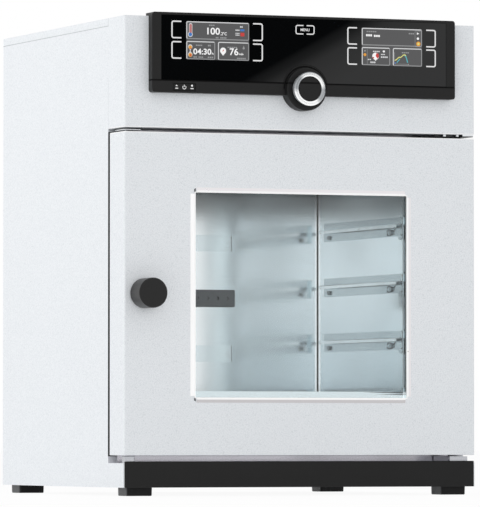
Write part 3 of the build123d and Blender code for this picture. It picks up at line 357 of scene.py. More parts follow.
# moulded housing, with painted shade in the gap where the glass sits in it and round the dial's seat
housingPlastic = {"light": tone(29, 29, 29), "dark": tone(24, 24, 24), "gapShade": tone(2, 2, 2),
                  "roughness": 0.42, "level": 0.22, "glassFoot": 0.5955, "width": 0.0022,
                  "seat": (0.0, 0.586), "seatRadius": 0.0342}


def makeHousing():
    f = Finish("housingPlastic")
    fine = f.noise(800.0, 3.0, 0.6)
    across, deep, up = f.parts(f.place())
    width = housingPlastic["width"]
    foot = (up < housingPlastic["glassFoot"]) * (up > housingPlastic["glassFoot"] - width)
    out = across - housingPlastic["seat"][0]
    rise = up - housingPlastic["seat"][1]
    radius = f.math("SQRT", out * out + rise * rise)
    ring = (radius > housingPlastic["seatRadius"] - width) * (radius < housingPlastic["seatRadius"])
    # painted shade below the glass and round the top of the dial's seat
    gapShade = f.math("MAXIMUM", foot, ring * (rise > 0.0))
    base = f.between(f.spread(fine, 0.3, 0.7, 0.0, 1.0), housingPlastic["dark"],
                     housingPlastic["light"])
    return f.surface(f.add("ShaderNodeBsdfPrincipled", {}, {
        "Base Color": f.between(gapShade, base, housingPlastic["gapShade"]),
        "Specular IOR Level": housingPlastic["level"],
        "Roughness": f.spread(gapShade, 0.0, 1.0, housingPlastic["roughness"], 0.95),
        "Normal": f.bump(fine, 0.08, 0.0002)}))


# shelf rails: a darker satin plate, painted highlights on the folded lip and both ends, a dark spring
# clip, and a painted glow on the back toward the wall
railSheet = {
    "plate": tone(206, 216, 219),
    "plateDark": tone(194, 205, 209),
    "lip": tone(246, 251, 252),
    "clip": tone(34, 40, 44),
    "lipFrom": 0.1800,
    "rearFrom": 0.1040,
    "frontTo": -0.1872,
    "backFrom": 0.1898,
    "backGlow": (0.30, 0.34, 0.35, 1.0),
    "clipFrom": 0.18695,
    "clipTo": 0.18790,
    "roughness": 0.2,
}


def makeRail():
    f = Finish("railSteel")
    line = f.noise(14.0, 4.0, 0.6, f.stretched([90.0, 1.0, 90.0]))
    base = f.between(f.spread(line, 0.3, 0.7, 0.0, 1.0), railSheet["plateDark"], railSheet["plate"])
    across, deep, up = f.parts(f.place())
    across = across.size()
    # painted highlights on the rear end, the front end and the folded lip
    base = f.between(deep > railSheet["rearFrom"], base, railSheet["lip"])
    base = f.between(deep < railSheet["frontTo"], base, railSheet["lip"])
    base = f.between(across < railSheet["lipFrom"], base, railSheet["lip"])
    base = f.between((across > railSheet["clipFrom"]) * (across < railSheet["clipTo"]), base,
                     railSheet["clip"])
    return f.surface(f.add("ShaderNodeBsdfPrincipled", {}, {
        "Base Color": base, "Metallic": 1.0,
        "Roughness": f.spread(line, 0.3, 0.7, railSheet["roughness"] - 0.03,
                              railSheet["roughness"] + 0.03),
        # painted light: the back, toward the wall, glows
        "Emission Color": f.between(across > railSheet["backFrom"], (0.0, 0.0, 0.0, 1.0),
                                    railSheet["backGlow"]),
        "Emission Strength": 1.0,
        "Normal": f.bump(line, 0.05, 0.0002)}))


# the rails' headed studs: light in front, shadowed behind
stud = {"light": tone(176, 188, 192), "dark": tone(40, 47, 50), "rear": 0.0826, "front": -0.1510}


def makeStud():
    f = Finish("studSteel")
    across, deep, up = f.parts(f.place())
    shade = f.math("MAXIMUM", deep > stud["rear"], (deep > stud["front"]) * (deep < 0.0))
    return f.surface(f.add("ShaderNodeBsdfPrincipled", {}, {
        "Base Color": f.between(shade, stud["light"], stud["dark"]), "Metallic": 0.8,
        "Roughness": f.spread(f.noise(40.0, 2.0), 0.3, 0.7, 0.22, 0.3)}))


# moulded or painted surfaces with a fine grain
def makeGrained(name, light, dark, rough, grain, relief, level=0.5, metallic=0.0):
    f = Finish(name)
    fine = f.noise(grain, 3.0, 0.6)
    cloud = f.noise(9.0, 2.0)
    base = f.between(f.spread(fine, 0.3, 0.7, 0.0, 1.0), dark, light)
    return f.surface(f.add("ShaderNodeBsdfPrincipled", {}, {
        "Base Color": base, "Metallic": metallic, "Specular IOR Level": level,
        "Roughness": f.spread(cloud, 0.3, 0.7, rough - 0.04, rough + 0.05),
        "Normal": f.bump(fine, relief, 0.0002)}))


# the hinge plate under the fascia: near black, with a coated ear at its end
hingePlate = {
    "black": tone(30, 31, 32),
    "dark": tone(22, 23, 24),
    "ear": tone(236, 239, 242),
    "earFrom": 0.2565,
    "earLow": 0.5245,
    "earDeep": -0.2385,
}


def makeHinge():
    f = Finish("hingePlate")
    fine = f.noise(700.0, 3.0, 0.6)
    base = f.between(fine, hingePlate["dark"], hingePlate["black"])
    across, deep, up = f.parts(f.place())
    ear = (across > hingePlate["earFrom"]) * (deep < hingePlate["earDeep"])
    base = f.between(ear * (up > hingePlate["earLow"]), base, hingePlate["ear"])
    return f.surface(f.add("ShaderNodeBsdfPrincipled", {}, {
        "Base Color": base, "Roughness": f.spread(fine, 0.3, 0.7, 0.3, 0.4),
        "Normal": f.bump(fine, 0.08, 0.0002)}))


# moulded feet: near black, their left sides painted paler as painted light
footPlastic = {"front": tone(9, 9, 10), "side": tone(78, 79, 80), "sideFrom": -0.6, "roughness": 0.42,
               "level": 0.2}


def makeFoot():
    f = Finish("footPlastic")
    fine = f.noise(500.0, 3.0, 0.6)
    # painted light: faces turned to the left are paler
    side = f.parts(f.facing())[0] < footPlastic["sideFrom"]
    return f.surface(f.add("ShaderNodeBsdfPrincipled", {}, {
        "Base Color": f.between(side, footPlastic["front"], footPlastic["side"]),
        "Specular IOR Level": footPlastic["level"],
        "Roughness": f.spread(fine, 0.3, 0.7, footPlastic["roughness"] - 0.04,
                              footPlastic["roughness"] + 0.05),
        "Normal": f.bump(fine, 0.15, 0.0002)}))


# mineral wool, in soft fibres: bare round the chamber, faced with dark cloth in the door
def makeWool(name, deep, pale):
    f = Finish(name)
    fibre = f.noise(60.0, 6.0, 0.7, f.stretched([1.0, 6.0, 1.0]))
    base = f.between(f.spread(fibre, 0.3, 0.7, 0.0, 1.0), deep, pale)
    return f.surface(f.add("ShaderNodeBsdfPrincipled", {}, {
        "Base Color": base, "Roughness": 0.95, "Normal": f.bump(fibre, 0.6, 0.003)}))


# glass plate: it tints what is behind it and mirrors a little, more at a slant
def makeClear(name, tint, ior):
    f = Finish(name)
    through = f.add("ShaderNodeBsdfTransparent", {}, {"Color": tint})
    gloss = f.add("ShaderNodeBsdfAnisotropic", {}, {
        "Color": (0.95, 0.97, 0.98, 1.0), "Roughness": 0.02})
    edge = f.add("ShaderNodeFresnel", {}, {"IOR": ior})
    return f.surface(f.add("ShaderNodeMixShader", {}, {0: edge, 1: through, 2: gloss}))


# black printed glass over the controls
def makeBlackGlass():
    f = Finish("blackGlass")
    smear = f.noise(6.0, 3.0)
    return f.surface(f.add("ShaderNodeBsdfPrincipled", {}, {
        "Base Color": f.between(smear, tone(2, 3, 4), tone(4, 5, 6)), "IOR": 1.46,
        "Roughness": f.spread(smear, 0.3, 0.7, 0.01, 0.03)}))


# lit marks on the control glass
def makeLit(name, colour, strength=1.0):
    f = Finish(name)
    grain = f.noise(900.0, 1.0)
    dim = tuple(part * 0.93 for part in colour[:3]) + (1.0,)
    shade = f.between(grain, dim, colour)
    return f.surface(f.add("ShaderNodeBsdfPrincipled", {}, {
        "Base Color": (0.01, 0.01, 0.01, 1.0), "Roughness": 0.3, "Specular IOR Level": 0.2,
        "Emission Color": shade, "Emission Strength": strength}))


finishes = {
    "casing": makeCasing("casingCoat"),
    # painted highlights along the door's top edge and the fascia's bottom edge
    "frontCasing": makeCasing("frontCoat", [(2, 0.5204, 0.0007, 0.9, tone(255, 255, 255), 0.0, 1.0),
                                            (2, 0.5277, 0.0007, 0.7, tone(255, 255, 255), 0.0, 1.0)]),
    # painted shade along two seams of the lid
    "lidCasing": makeCasing("lidCoat", [(2, 0.675, 0.0011, 0.5, tone(120, 126, 130), 0.0, 1.0),
                                        (1, -0.192, 0.0009, 0.45, tone(110, 116, 120), 0.0, 1.0)]),
    # painted light and shade on the side panel's front fold: dark in the gap beside the door, pale
    # below the door and grey above it
    "sideCasing": makeCasing("sideCoat", [(1, -0.192, 0.0008, 1.0, tone(26, 28, 30), 0.0565, 0.5225),
                                          (1, -0.192, 0.0006, 0.9, tone(222, 222, 228), 0.0, 0.0565),
                                          (1, -0.192, 0.0006, 0.8, tone(176, 179, 184), 0.5225, 0.6)]),
    "chamber": makeChamber(),
    # the liner's outer edges painted near black: painted shade in the door's side gaps
    "liner": makeBrushed("linerSteel", tone(236, 240, 242), tone(226, 231, 234), 0.16, 0, 1.0,
                         (0.2695, tone(34, 36, 38))),
    "frame": makeBrushed("frameSteel", tone(214, 212, 219), tone(202, 200, 208), 0.2, 0),
    "hardware": makeBrushed("hardwareSteel", tone(196, 197, 202), tone(178, 180, 185), 0.26, 0),
    "spacer": makeRim("spacerSteel", tone(244, 248, 249), tone(236, 242, 244), 0.22, 1.0,
                      rimLight["spacer"]),
    "rail": makeRail(),
    "stud": makeStud(),
    "hinge": makeHinge(),
    "bright": makeBrushed("brightSteel", tone(232, 234, 236), tone(214, 217, 220), 0.2, 0),
    "trim": makeTrim(),
    "housing": makeHousing(),
    "knob": makeGrained("knobPlastic", tone(26, 26, 26), tone(21, 21, 21), 0.34, 900.0, 0.06, 0.3),
    "foot": makeFoot(),
    "plinth": makeGrained("plinthPaint", tone(28, 28, 28), tone(24, 24, 24), 0.5, 900.0, 0.12, 0.2),
    "chrome": makeDial([(a + b) / 2 for a, b in zip(*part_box("dial_ring"))]),
    "mouth": makeMouth(),
    "cover": makeCover(),
    "dark": makeGrained("darkSteel", tone(34, 38, 40), tone(24, 27, 29), 0.35, 500.0, 0.1, 0.3),
    "blackGlass": makeBlackGlass(),
    "clear": makeClear("clearGlass", (0.992, 0.998, 1.0, 1.0), 1.34),
    "screen": makeLit("screenGrey", tone(84, 84, 85)),
    "cushion": makeRim("cushionSilicone", tone(214, 220, 222), tone(204, 211, 214), 0.4, 0.0,
                       rimLight["cushion"]),
    "rubber": makeGrained("sealRubber", tone(62, 66, 68), tone(48, 51, 53), 0.6, 400.0, 0.2),
    "board": makeGrained("boardGreen", tone(32, 104, 62), tone(22, 82, 48), 0.35, 250.0, 0.1),
    "brass": makeGrained("valveBrass", tone(214, 178, 104), tone(196, 160, 90), 0.28, 300.0, 0.05,
                         0.5, 1.0),
    "socket": makeGrained("socketPlastic", tone(70, 78, 82), tone(58, 66, 70), 0.5, 500.0, 0.1),
    "heater": makeGrained("heaterRubber", tone(176, 88, 58), tone(150, 70, 44), 0.7, 300.0, 0.3),
    "wool": makeWool("mineralWool", tone(186, 176, 140), tone(226, 220, 196)),
    "facing": makeWool("woolFacing", tone(52, 54, 56), tone(66, 68, 70)),
    "mark": makeLit("markWhite", tone(228, 228, 228)),
    "line": makeLit("screenLine", tone(214, 215, 216)),
    "digit": makeLit("screenWhite", tone(248, 248, 248)),
    "faint": makeLit("screenFaint", tone(150, 151, 152)),
    "red": makeLit("screenRed", tone(196, 62, 58)),
    "blue": makeLit("screenBlue", tone(62, 118, 190)),
    "pink": makeLit("screenPink", tone(184, 116, 116)),
    "amber": makeLit("screenAmber", tone(226, 158, 60)),
    "teal": makeLit("screenTeal", tone(86, 178, 186)),
    "lemon": makeLit("screenLemon", tone(224, 222, 130)),
}

dressing = {
    "casing": ["rear_panel", "base_frame"],
    "frontCasing": ["fascia_box", "door_shell"],
    "lidCasing": ["lid"],
    "sideCasing": ["side_panel"],
    "trim": ["window_frame"],
    "chamber": ["vacuum_chamber"],
    "cover": ["socket_covers"],
    "mouth": ["chamber_flange"],
    "liner": ["door_liner"],
    "frame": ["front_frame"],
    "hardware": ["lower_hinge", "door_glide"],
    "spacer": ["spacer_frame"],
    "rail": ["shelf_rail"],
    "stud": ["rail_screws"],
    "hinge": ["upper_hinge"],
    "bright": ["vacuum_stub", "gas_inlet_stub", "latch_keeper", "latch_shaft", "casing_screws",
               "door_hinge_blocks", "electronics_deck"],
    "housing": ["cockpit_housing", "power_inlet", "power_key", "dial_button", "dial_encoder",
                "knob_bearing"],
    "knob": ["door_knob"],
    "foot": ["foot_"],
    "plinth": ["plinth_cover"],
    "chrome": ["dial_ring"],
    "blackGlass": ["control_glass"],
    "clear": ["outer_pane", "inner_glass"],
    "screen": ["display_"],
    "cushion": ["glass_cushion"],
    "rubber": ["door_gasket"],
    "board": ["control_board", "power_board"],
    "brass": ["valve_block"],
    "socket": ["shelf_socket"],
    "heater": ["heater_mats"],
    "wool": ["insulation_jacket"],
    "facing": ["door_insulation"],
}
for finish, starts in dressing.items():
    for name, node in nodes.items():
        if any(name.startswith(start) for start in starts):
            node.data.materials.clear()
            node.data.materials.append(finishes[finish])
print("finishes made,", len(finishes))


# flat marks: shapes drawn in millimetres, x across and z up, on a face that looks forward
def rounded(x0, z0, x1, z1, radius, steps=5):
    points = []
    for cx, cz, start in ((x1 - radius, z1 - radius, 0), (x0 + radius, z1 - radius, 90),
                          (x0 + radius, z0 + radius, 180), (x1 - radius, z0 + radius, 270)):
        for step in range(steps + 1):
            angle = math.radians(start + 90 * step / steps)
            points.append((cx + radius * math.cos(angle), cz + radius * math.sin(angle)))
    return points


def disc(x, z, radius, steps=28):
    return [(x + radius * math.cos(2 * math.pi * i / steps),
             z + radius * math.sin(2 * math.pi * i / steps)) for i in range(steps)]


def stroke(points, width, closed=False):  # a line of even width, as a row of four-sided pieces
    points = [Vector(point) for point in points]
    count = len(points)
    sides = []
    for i, point in enumerate(points):
        before = points[i - 1] if closed or i else None
        after = points[(i + 1) % count] if closed or i + 1 < count else None
        ways = [way.normalized() for way in (point - before if before else None,
                                             after - point if after else None) if way]
        way = sum(ways, Vector((0, 0))).normalized()
        out = Vector((-way.y, way.x))
        reach = width / 2 / max(0.5, abs(out.dot(Vector((-ways[0].y, ways[0].x)))))
        sides.append((point + out * reach, point - out * reach))
    pieces = []
    for i in range(count if closed else count - 1):
        a, b = sides[i], sides[(i + 1) % count]
        pieces.append([a[0], a[1], b[1], b[0]])
    return pieces


def meshOf(name, bm):
    mesh = bpy.data.meshes.new(name)
    bm.to_mesh(mesh)
    bm.free()
    return mesh


def addPiece(name, mesh, finish, body):
    mesh.materials.clear()
    mesh.materials.append(finishes[finish])
    piece = bpy.data.objects.new(name, mesh)
    bpy.context.scene.collection.objects.link(piece)
    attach(piece, body)
    return piece


def thicken(bm, way):  # flat faces grow along a way, in millimetres
    grown = bmesh.ops.extrude_face_region(bm, geom=bm.faces[:])
    bmesh.ops.translate(bm, vec=Vector(way) / 1000,
                        verts=[v for v in grown["geom"] if isinstance(v, bmesh.types.BMVert)])
    bmesh.ops.recalc_face_normals(bm, faces=bm.faces)


def flatPiece(name, shapes, finish, body, face, thickness=0.12):
    bm = bmesh.new()
    for shape in shapes:
        bm.faces.new([bm.verts.new((x / 1000, face / 1000, z / 1000)) for x, z in shape])
    bmesh.ops.remove_doubles(bm, verts=bm.verts, dist=1e-7)
    for side in bm.faces:
        side.normal_update()
        if side.normal.y > 0:
            side.normal_flip()
    thicken(bm, (0, -thickness, 0))
    return addPiece(name, meshOf(name, bm), finish, body)


def written(name, text, x, z, width, height, finish, body, face, weight=0.0, thickness=0.1):
    curve = bpy.data.curves.new(name, "FONT")
    curve.body = text
    curve.align_x = "CENTER"
    curve.align_y = "CENTER"
    curve.size = height / 1000 * 1.4
    curve.offset = weight / 1000
    curve.extrude = thickness / 2000
    curve.resolution_u = 4
    draft = bpy.data.objects.new(name + "Draft", curve)
    bpy.context.scene.collection.objects.link(draft)
    bpy.context.view_layer.update()
    mesh = bpy.data.meshes.new_from_object(draft.evaluated_get(bpy.context.evaluated_depsgraph_get()))
    bpy.data.objects.remove(draft)
    mesh.name = name
    low = [min(v.co[k] for v in mesh.vertices) for k in (0, 1)]
    high = [max(v.co[k] for v in mesh.vertices) for k in (0, 1)]
    middle = [(a + b) / 2 for a, b in zip(low, high)]
    wide = width / 1000 / (high[0] - low[0])
    tall = height / 1000 / (high[1] - low[1])
    for v in mesh.vertices:
        a, b, c = v.co
        v.co = (x / 1000 + (a - middle[0]) * wide,
                (face - thickness / 2) / 1000 - c, z / 1000 + (b - middle[1]) * tall)
    return addPiece(name, mesh, finish, body)


# marks printed on the control glass, and the two lit displays behind it
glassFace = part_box("control_glass")[0].y * 1000
bracket = {"line": 1.9, "radius": 2.6, "length": 14.4}
menuKey = {"x": -0.4, "z": 672.4, "width": 28.3, "height": 12.2, "gap": 5.1, "line": 1.5,
           "text": 3.9, "wordWidth": 14.0, "weight": 0.12}
leftKeys = [(-207.1, 655.5, 679.1, 1), (-207.1, 626.3, 649.8, 1),
            (-67.3, 654.9, 678.9, -1), (-67.3, 625.8, 649.6, -1)]
rightKeys = [(67.0, 653.9, 677.6, 1), (67.0, 624.7, 648.4, 1),
             (205.9, 653.1, 677.2, -1), (205.9, 624.3, 648.3, -1)]


def bracketShape(x, low, high, way, length, line):  # a bracket that opens to the right, or left at -1
    r = bracket["radius"]
    upper = [(x + way * (r - r * math.cos(a)), high - r + r * math.sin(a))
             for a in (i * math.pi / 10 for i in range(6))]
    lower = [(px, low + high - pz) for px, pz in reversed(upper)]
    end = x + way * length
    return stroke([(end, low)] + lower + upper + [(end, high)], line)


marks = []
for x, low, high, way in leftKeys + rightKeys:
    marks += bracketShape(x, low, high, way, bracket["length"], bracket["line"])
half = menuKey["width"] / 2
low, high = menuKey["z"] - menuKey["height"] / 2, menuKey["z"] + menuKey["height"] / 2
for way in (1, -1):
    marks += bracketShape(menuKey["x"] - way * half, low, high, way, half - menuKey["gap"] / 2,
                          menuKey["line"])
flatPiece("glassMarks", marks, "mark", "cabinet", glassFace)
written("menuWord", "MENU", menuKey["x"], menuKey["z"], menuKey["wordWidth"], menuKey["text"], "mark",
        "cabinet", glassFace, menuKey["weight"])

tile = {"line": 1.35, "radius": 1.6, "lift": 0.1, "gapUp": 1.4, "gapAcross": 2.2}


def makeDisplay(side, x0, x1, z0, z1, split, divide):  # three tiles, brighter along top and left
    flatPiece(side + "Screen", [[(x0, z0), (x1, z0), (x1, z1), (x0, z1)]], "screen", "cabinet",
              glassFace, 0.1)
    face = glassFace - tile["lift"]
    bright, dim = [], []
    above, below = split + tile["gapUp"], split - tile["gapUp"]
    left, right = divide - tile["gapAcross"], divide + tile["gapAcross"]
    for a0, b0, a1, b1 in ((x0, above, x1, z1), (x0, z0, left, below), (right, z0, x1, below)):
        inset = tile["line"] / 2
        ring = rounded(a0 + inset, b0 + inset, a1 - inset, b1 - inset, tile["radius"])
        bright += stroke(ring[3:16], tile["line"])
        dim += stroke(ring[15:] + ring[:4], tile["line"] * 0.9)
    flatPiece(side + "TileTops", bright, "line", "cabinet", face, 0.08)
    flatPiece(side + "TileFeet", dim, "faint", "cabinet", face, 0.07)
    return face


def drawn(name, shapes, finish, face, height=0.06):  # a mark on a lit screen
    return flatPiece(name, shapes, finish, "cabinet", face, height)


def dashes(x0, x1, z0, z1, parts):  # a row of short bars where small words would be
    pitch = (x1 - x0) / parts
    return [rounded(x0 + i * pitch, z0, x0 + (i + 0.8) * pitch, z1, min(0.4, (z1 - z0) / 3))
            for i in range(parts)]


face = makeDisplay("left", -185.0, -87.9, 625.2, 679.6, 652.7, -138.3)
# thermometer
drawn("thermometerTube", [rounded(-181.0, 661.5, -175.8, 677.0, 2.5)], "line", face)
drawn("thermometerBulb", [disc(-178.9, 660.8, 3.7)], "line", face, 0.07)
drawn("thermometerWarm", [rounded(-180.3, 662.5, -176.5, 675.8, 1.7)], "pink", face, 0.10)
drawn("thermometerCold", [disc(-178.9, 660.8, 2.7)], "blue", face, 0.12)
written("bigReading", "100", -142.9, 666.4, 19.6, 10.0, "digit", "cabinet", face, 0.25)
written("bigUnit", ".2°C", -127.4, 663.2, 9.6, 4.6, "digit", "cabinet", face, 0.12)
drawn("tinyLines", dashes(-150.0, -140.9, 674.0, 675.6, 3) + dashes(-139.6, -135.0, 656.2, 658.2, 2)
      + dashes(-132.6, -122.5, 656.2, 658.2, 4), "faint", face)
drawn("limitLines", dashes(-109.0, -102.4, 667.9, 669.8, 3) + dashes(-109.0, -102.4, 661.0, 662.6, 3)
      + dashes(-109.0, -102.4, 663.6, 665.0, 3) + dashes(-102.0, -97.4, 672.6, 674.8, 2), "line", face)
drawn("limitLow", [rounded(-101.6, 667.5, -95.2, 670.3, 0.4)], "blue", face, 0.07)
drawn("limitHigh", [rounded(-101.3, 660.2, -95.2, 665.3, 0.6)], "red", face, 0.07)
# sand glass and running time
drawn("sandGlass", [disc(-179.0, 643.2, 3.3), disc(-179.0, 632.0, 3.4),
                    [(-180.6, 641.0), (-177.4, 641.0), (-178.6, 637.6), (-177.4, 634.4),
                     (-180.6, 634.4), (-179.4, 637.6)]], "line", face)
drawn("sandUpper", [disc(-179.0, 642.4, 2.7)], "amber", face, 0.10)
drawn("sandLower", [disc(-179.0, 631.4, 2.8)], "amber", face, 0.10)
drawn("sandCore", [disc(-178.3, 631.0, 1.3), disc(-178.2, 640.8, 0.9)], "red", face, 0.12)
written("timeReading", "04:30", -160.4, 636.6, 27.8, 8.6, "digit", "cabinet", face, 0.25)
written("timeUnit", "h", -144.3, 634.1, 2.6, 2.8, "digit", "cabinet", face, 0.1)
drawn("timeLines", dashes(-170.4, -160.0, 644.6, 646.4, 4) + dashes(-151.7, -147.0, 644.3, 646.7, 2)
      + dashes(-174.1, -168.2, 627.6, 629.6, 2) + dashes(-166.2, -158.6, 627.6, 629.6, 3)
      + dashes(-152.0, -143.0, 627.6, 629.6, 3), "faint", face)
# gauge and pressure
drawn("gaugeDrop", [disc(-128.2, 638.6, 4.6), [(-131.6, 635.6), (-124.8, 635.6), (-128.2, 631.6)]],
      "digit", face)
drawn("gaugeHand", stroke([(-128.9, 637.6), (-127.2, 640.2)], 1.2), "red", face, 0.10)
written("pressureReading", "76", -111.3, 637.6, 13.4, 10.2, "digit", "cabinet", face, 0.25)
written("pressureUnit", "mb", -100.2, 634.6, 7.2, 2.9, "digit", "cabinet", face, 0.1)
drawn("pressureLines", dashes(-121.4, -105.9, 643.0, 644.6, 5) + dashes(-106.6, -92.6, 627.2, 629.2, 5)
      + [disc(-96.3, 643.0, 1.7), [(-97.6, 643.6), (-95.0, 643.6), (-96.3, 646.9)]], "faint", face)

face = makeDisplay("right", 89.0, 184.7, 623.8, 678.0, 651.3, 136.1)
# date and mode
drawn("dateLines", dashes(96.6, 112.6, 672.0, 673.6, 5) + dashes(163.5, 172.6, 670.6, 672.4, 3),
      "faint", face)
drawn("modeLine", dashes(95.8, 105.8, 665.8, 668.9, 3) + dashes(108.2, 118.3, 665.2, 668.2, 3),
      "digit", face)
drawn("sideStrip", stroke(rounded(173.6, 652.6, 183.4, 675.6, 0.8), 0.5, True), "faint", face)
drawn("runSigns", [[(176.6, 670.2), (180.3, 671.9), (176.6, 673.6)], disc(178.2, 664.5, 1.8)], "digit",
      face, 0.08)
drawn("heatSign", [disc(178.9, 656.9, 3.4)], "amber", face, 0.08)
drawn("heatCore", [disc(178.9, 656.9, 1.7)], "lemon", face, 0.12)
# step and fan
drawn("stepStrip", stroke([(97.6, 625.4), (97.6, 647.2)], 0.5) + [disc(94.0, 644.6, 1.2)],
      "faint", face)
drawn("stepSign", [disc(93.9, 639.0, 2.2)], "amber", face, 0.08)
drawn("fanWhite", [disc(110.8, 637.2, 5.2), [(107.4, 634.2), (114.2, 634.2), (110.8, 630.4)]],
      "digit", face)
drawn("fanRed", [[(110.8, 637.6), (112.4, 642.0), (115.6, 640.2), (116.0, 636.6), (114.0, 633.6)],
                 [(105.9, 636.0), (108.6, 635.8), (107.8, 633.6), (106.4, 634.2)]], "red", face, 0.10)
drawn("stepTag", [rounded(122.2, 643.0, 125.6, 645.8, 1.0)], "digit", face, 0.08)
drawn("stepLines", dashes(106.6, 117.9, 643.2, 645.0, 4) + dashes(119.4, 126.1, 639.2, 640.8, 3)
      + dashes(119.3, 130.6, 635.0, 637.2, 4) + dashes(98.6, 104.0, 631.4, 633.0, 2)
      + dashes(102.5, 111.1, 627.0, 629.3, 3), "line", face)
# curve of the run
curve = {"lemon": [(141.1, 632.0), (143.7, 632.8), (146.0, 635.0), (148.2, 636.7), (150.5, 636.3),
                   (152.7, 638.1), (155.0, 640.0), (157.4, 640.4), (159.0, 639.0)],
         "teal": [(144.6, 628.6), (146.2, 630.6), (147.8, 632.4), (149.4, 634.0), (156.6, 639.6),
                  (158.6, 638.4), (159.8, 635.6), (160.8, 632.4), (161.8, 628.9)]}
drawn("curveTeal", stroke(curve["teal"][:4], 1.3) + stroke(curve["teal"][4:], 1.5), "teal", face, 0.07)
drawn("curveLemon", stroke(curve["lemon"], 1.3), "lemon", face, 0.09)
drawn("curveCold", [disc(142.0, 628.0, 1.0)], "blue", face, 0.09)
drawn("curveLines", stroke([(140.9, 627.0), (140.9, 643.6)], 0.5)
      + stroke([(140.9, 626.6), (163.0, 626.6)], 0.5) + dashes(152.4, 164.4, 642.6, 644.2, 4)
      + [disc(163.0, 626.6, 0.9)], "faint", face)


def plate(name, x0, x1, y0, y1, low, high, radius, bevel, finish, body, slot):  # lies flat, millimetres
    bm = bmesh.new()
    outline = rounded(x0, y0, x1, y1, radius)
    bm.faces.new([bm.verts.new((x / 1000, y / 1000, low / 1000)) for x, y in outline])
    thicken(bm, (0, 0, high - low))
    rims = [e for e in bm.edges if len(e.link_faces) == 2 and e.calc_face_angle() > 1.2]
    bmesh.ops.bevel(bm, geom=rims, offset=bevel / 1000, segments=2, profile=0.5, affect="EDGES")
    return addPiece(name, meshOf(name, bm), finish, body)


# small fittings in the gap over the door: a catch on its black block, and two bolts by the hinge
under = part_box("fascia_box")[0].z * 1000
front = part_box("fascia_box")[0].y * 1000
catch = {"x": (-269.2, -243.2), "v": (15.0, 54.0), "block": 1.9, "plate": 1.7, "screw": (-265.4, 18.6),
         "head": 1.7, "headHeight": 0.8}
bolts = {"places": ((229.4, 6.2), (250.2, 6.2)), "radius": 2.7, "height": 3.3}
plate("catchBlock", *catch["x"], *(front + v for v in catch["v"]), under - catch["block"], under,
      1.5, 0.2, "dark", "cabinet", "black_paint")
low = under - catch["block"] - catch["plate"]
plate("catchPlate", *catch["x"], *(front + v for v in catch["v"]), low, low + catch["plate"],
      1.5, 0.3, "bright", "cabinet", "bright_steel")
for name, (x, v), radius, high, drop in [
        ("catchScrew", catch["screw"], catch["head"], low, catch["headHeight"]),
        ("hingeBoltLeft", bolts["places"][0], bolts["radius"], under, bolts["height"]),
        ("hingeBoltRight", bolts["places"][1], bolts["radius"], under, bolts["height"])]:
    plate(name, x - radius, x + radius, front + v - radius, front + v + radius, high - drop, high,
          radius * 0.99, 0.3, "bright", "cabinet", "bright_steel")


def lug(bm, side, wall, v, z, deep, tall, rise):  # a small block on a side wall, millimetres
    inner = (wall - rise) / 1000 * side
    outer = wall / 1000 * side
    corners = []
    for x in (outer, inner):
        for dv, dz in ((-1, -1), (1, -1), (1, 1), (-1, 1)):
            y = front + v + dv * deep / 2
            corners.append(bm.verts.new((x, y / 1000, (z + dz * tall / 2) / 1000)))
    low, high = corners[:4], corners[4:]
    bm.faces.new(low)
    bm.faces.new(high)
    for i in range(4):
        bm.faces.new((low[i], low[(i + 1) % 4], high[(i + 1) % 4], high[i]))


def lugs(name, places, finish):
    bm = bmesh.new()
    for place in places:
        lug(bm, *place)
    bmesh.ops.recalc_face_normals(bm, faces=bm.faces)
    bmesh.ops.bevel(bm, geom=bm.edges[:], offset=0.00012, segments=1, profile=0.5, affect="EDGES")
    return addPiece(name, meshOf(name, bm), finish, "cabinet")


# hooks and pins at the chamber's mouth beside each rail, and rivets on the rails' front ends:
# each has its wall, its depth, its height over the ledge, and is so deep, so tall and so thick
ledges = (145.5, 229.1, 312.7, 396.3)
wall, rail = 192.5, 188.5
mouthFittings = {
    "mouthHooks": ("dark", [(wall, 66.8, -10.6, 1.9, 20.4, 1.2), (wall, 66.4, -1.6, 3.8, 3.6, 1.4),
                            (wall, 66.3, -22.0, 3.6, 2.4, 1.2)]),
    "mouthPins": ("dark", [(wall, 66.4, 12.7, 2.6, 2.8, 1.0), (rail, 69.4, -4.9, 1.8, 2.0, 0.5),
                           (rail, 69.4, -15.0, 1.8, 2.0, 0.5)]),
    "railRivets": ("bright", [(rail, 74.4, 2.3, 2.4, 2.2, 0.7), (rail, 74.4, -3.8, 2.4, 2.2, 0.7)]),
}
for name, (finish, shapes) in mouthFittings.items():
    lugs(name, [(side, at, v, z + above, deep, tall, rise) for side in (-1, 1) for z in ledges
                for at, v, above, deep, tall, rise in shapes], finish)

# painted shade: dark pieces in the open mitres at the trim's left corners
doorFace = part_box("door_shell")[0].y * 1000
flatPiece("trimGapShade", [[(-167.2, 435.4), (-164.9, 435.4), (-164.9, 441.2), (-167.2, 439.6)],
                       [(-167.2, 136.6), (-164.9, 135.2), (-164.9, 140.6), (-167.2, 140.6)]],
          "rubber", "door", doorFace, 0.3)

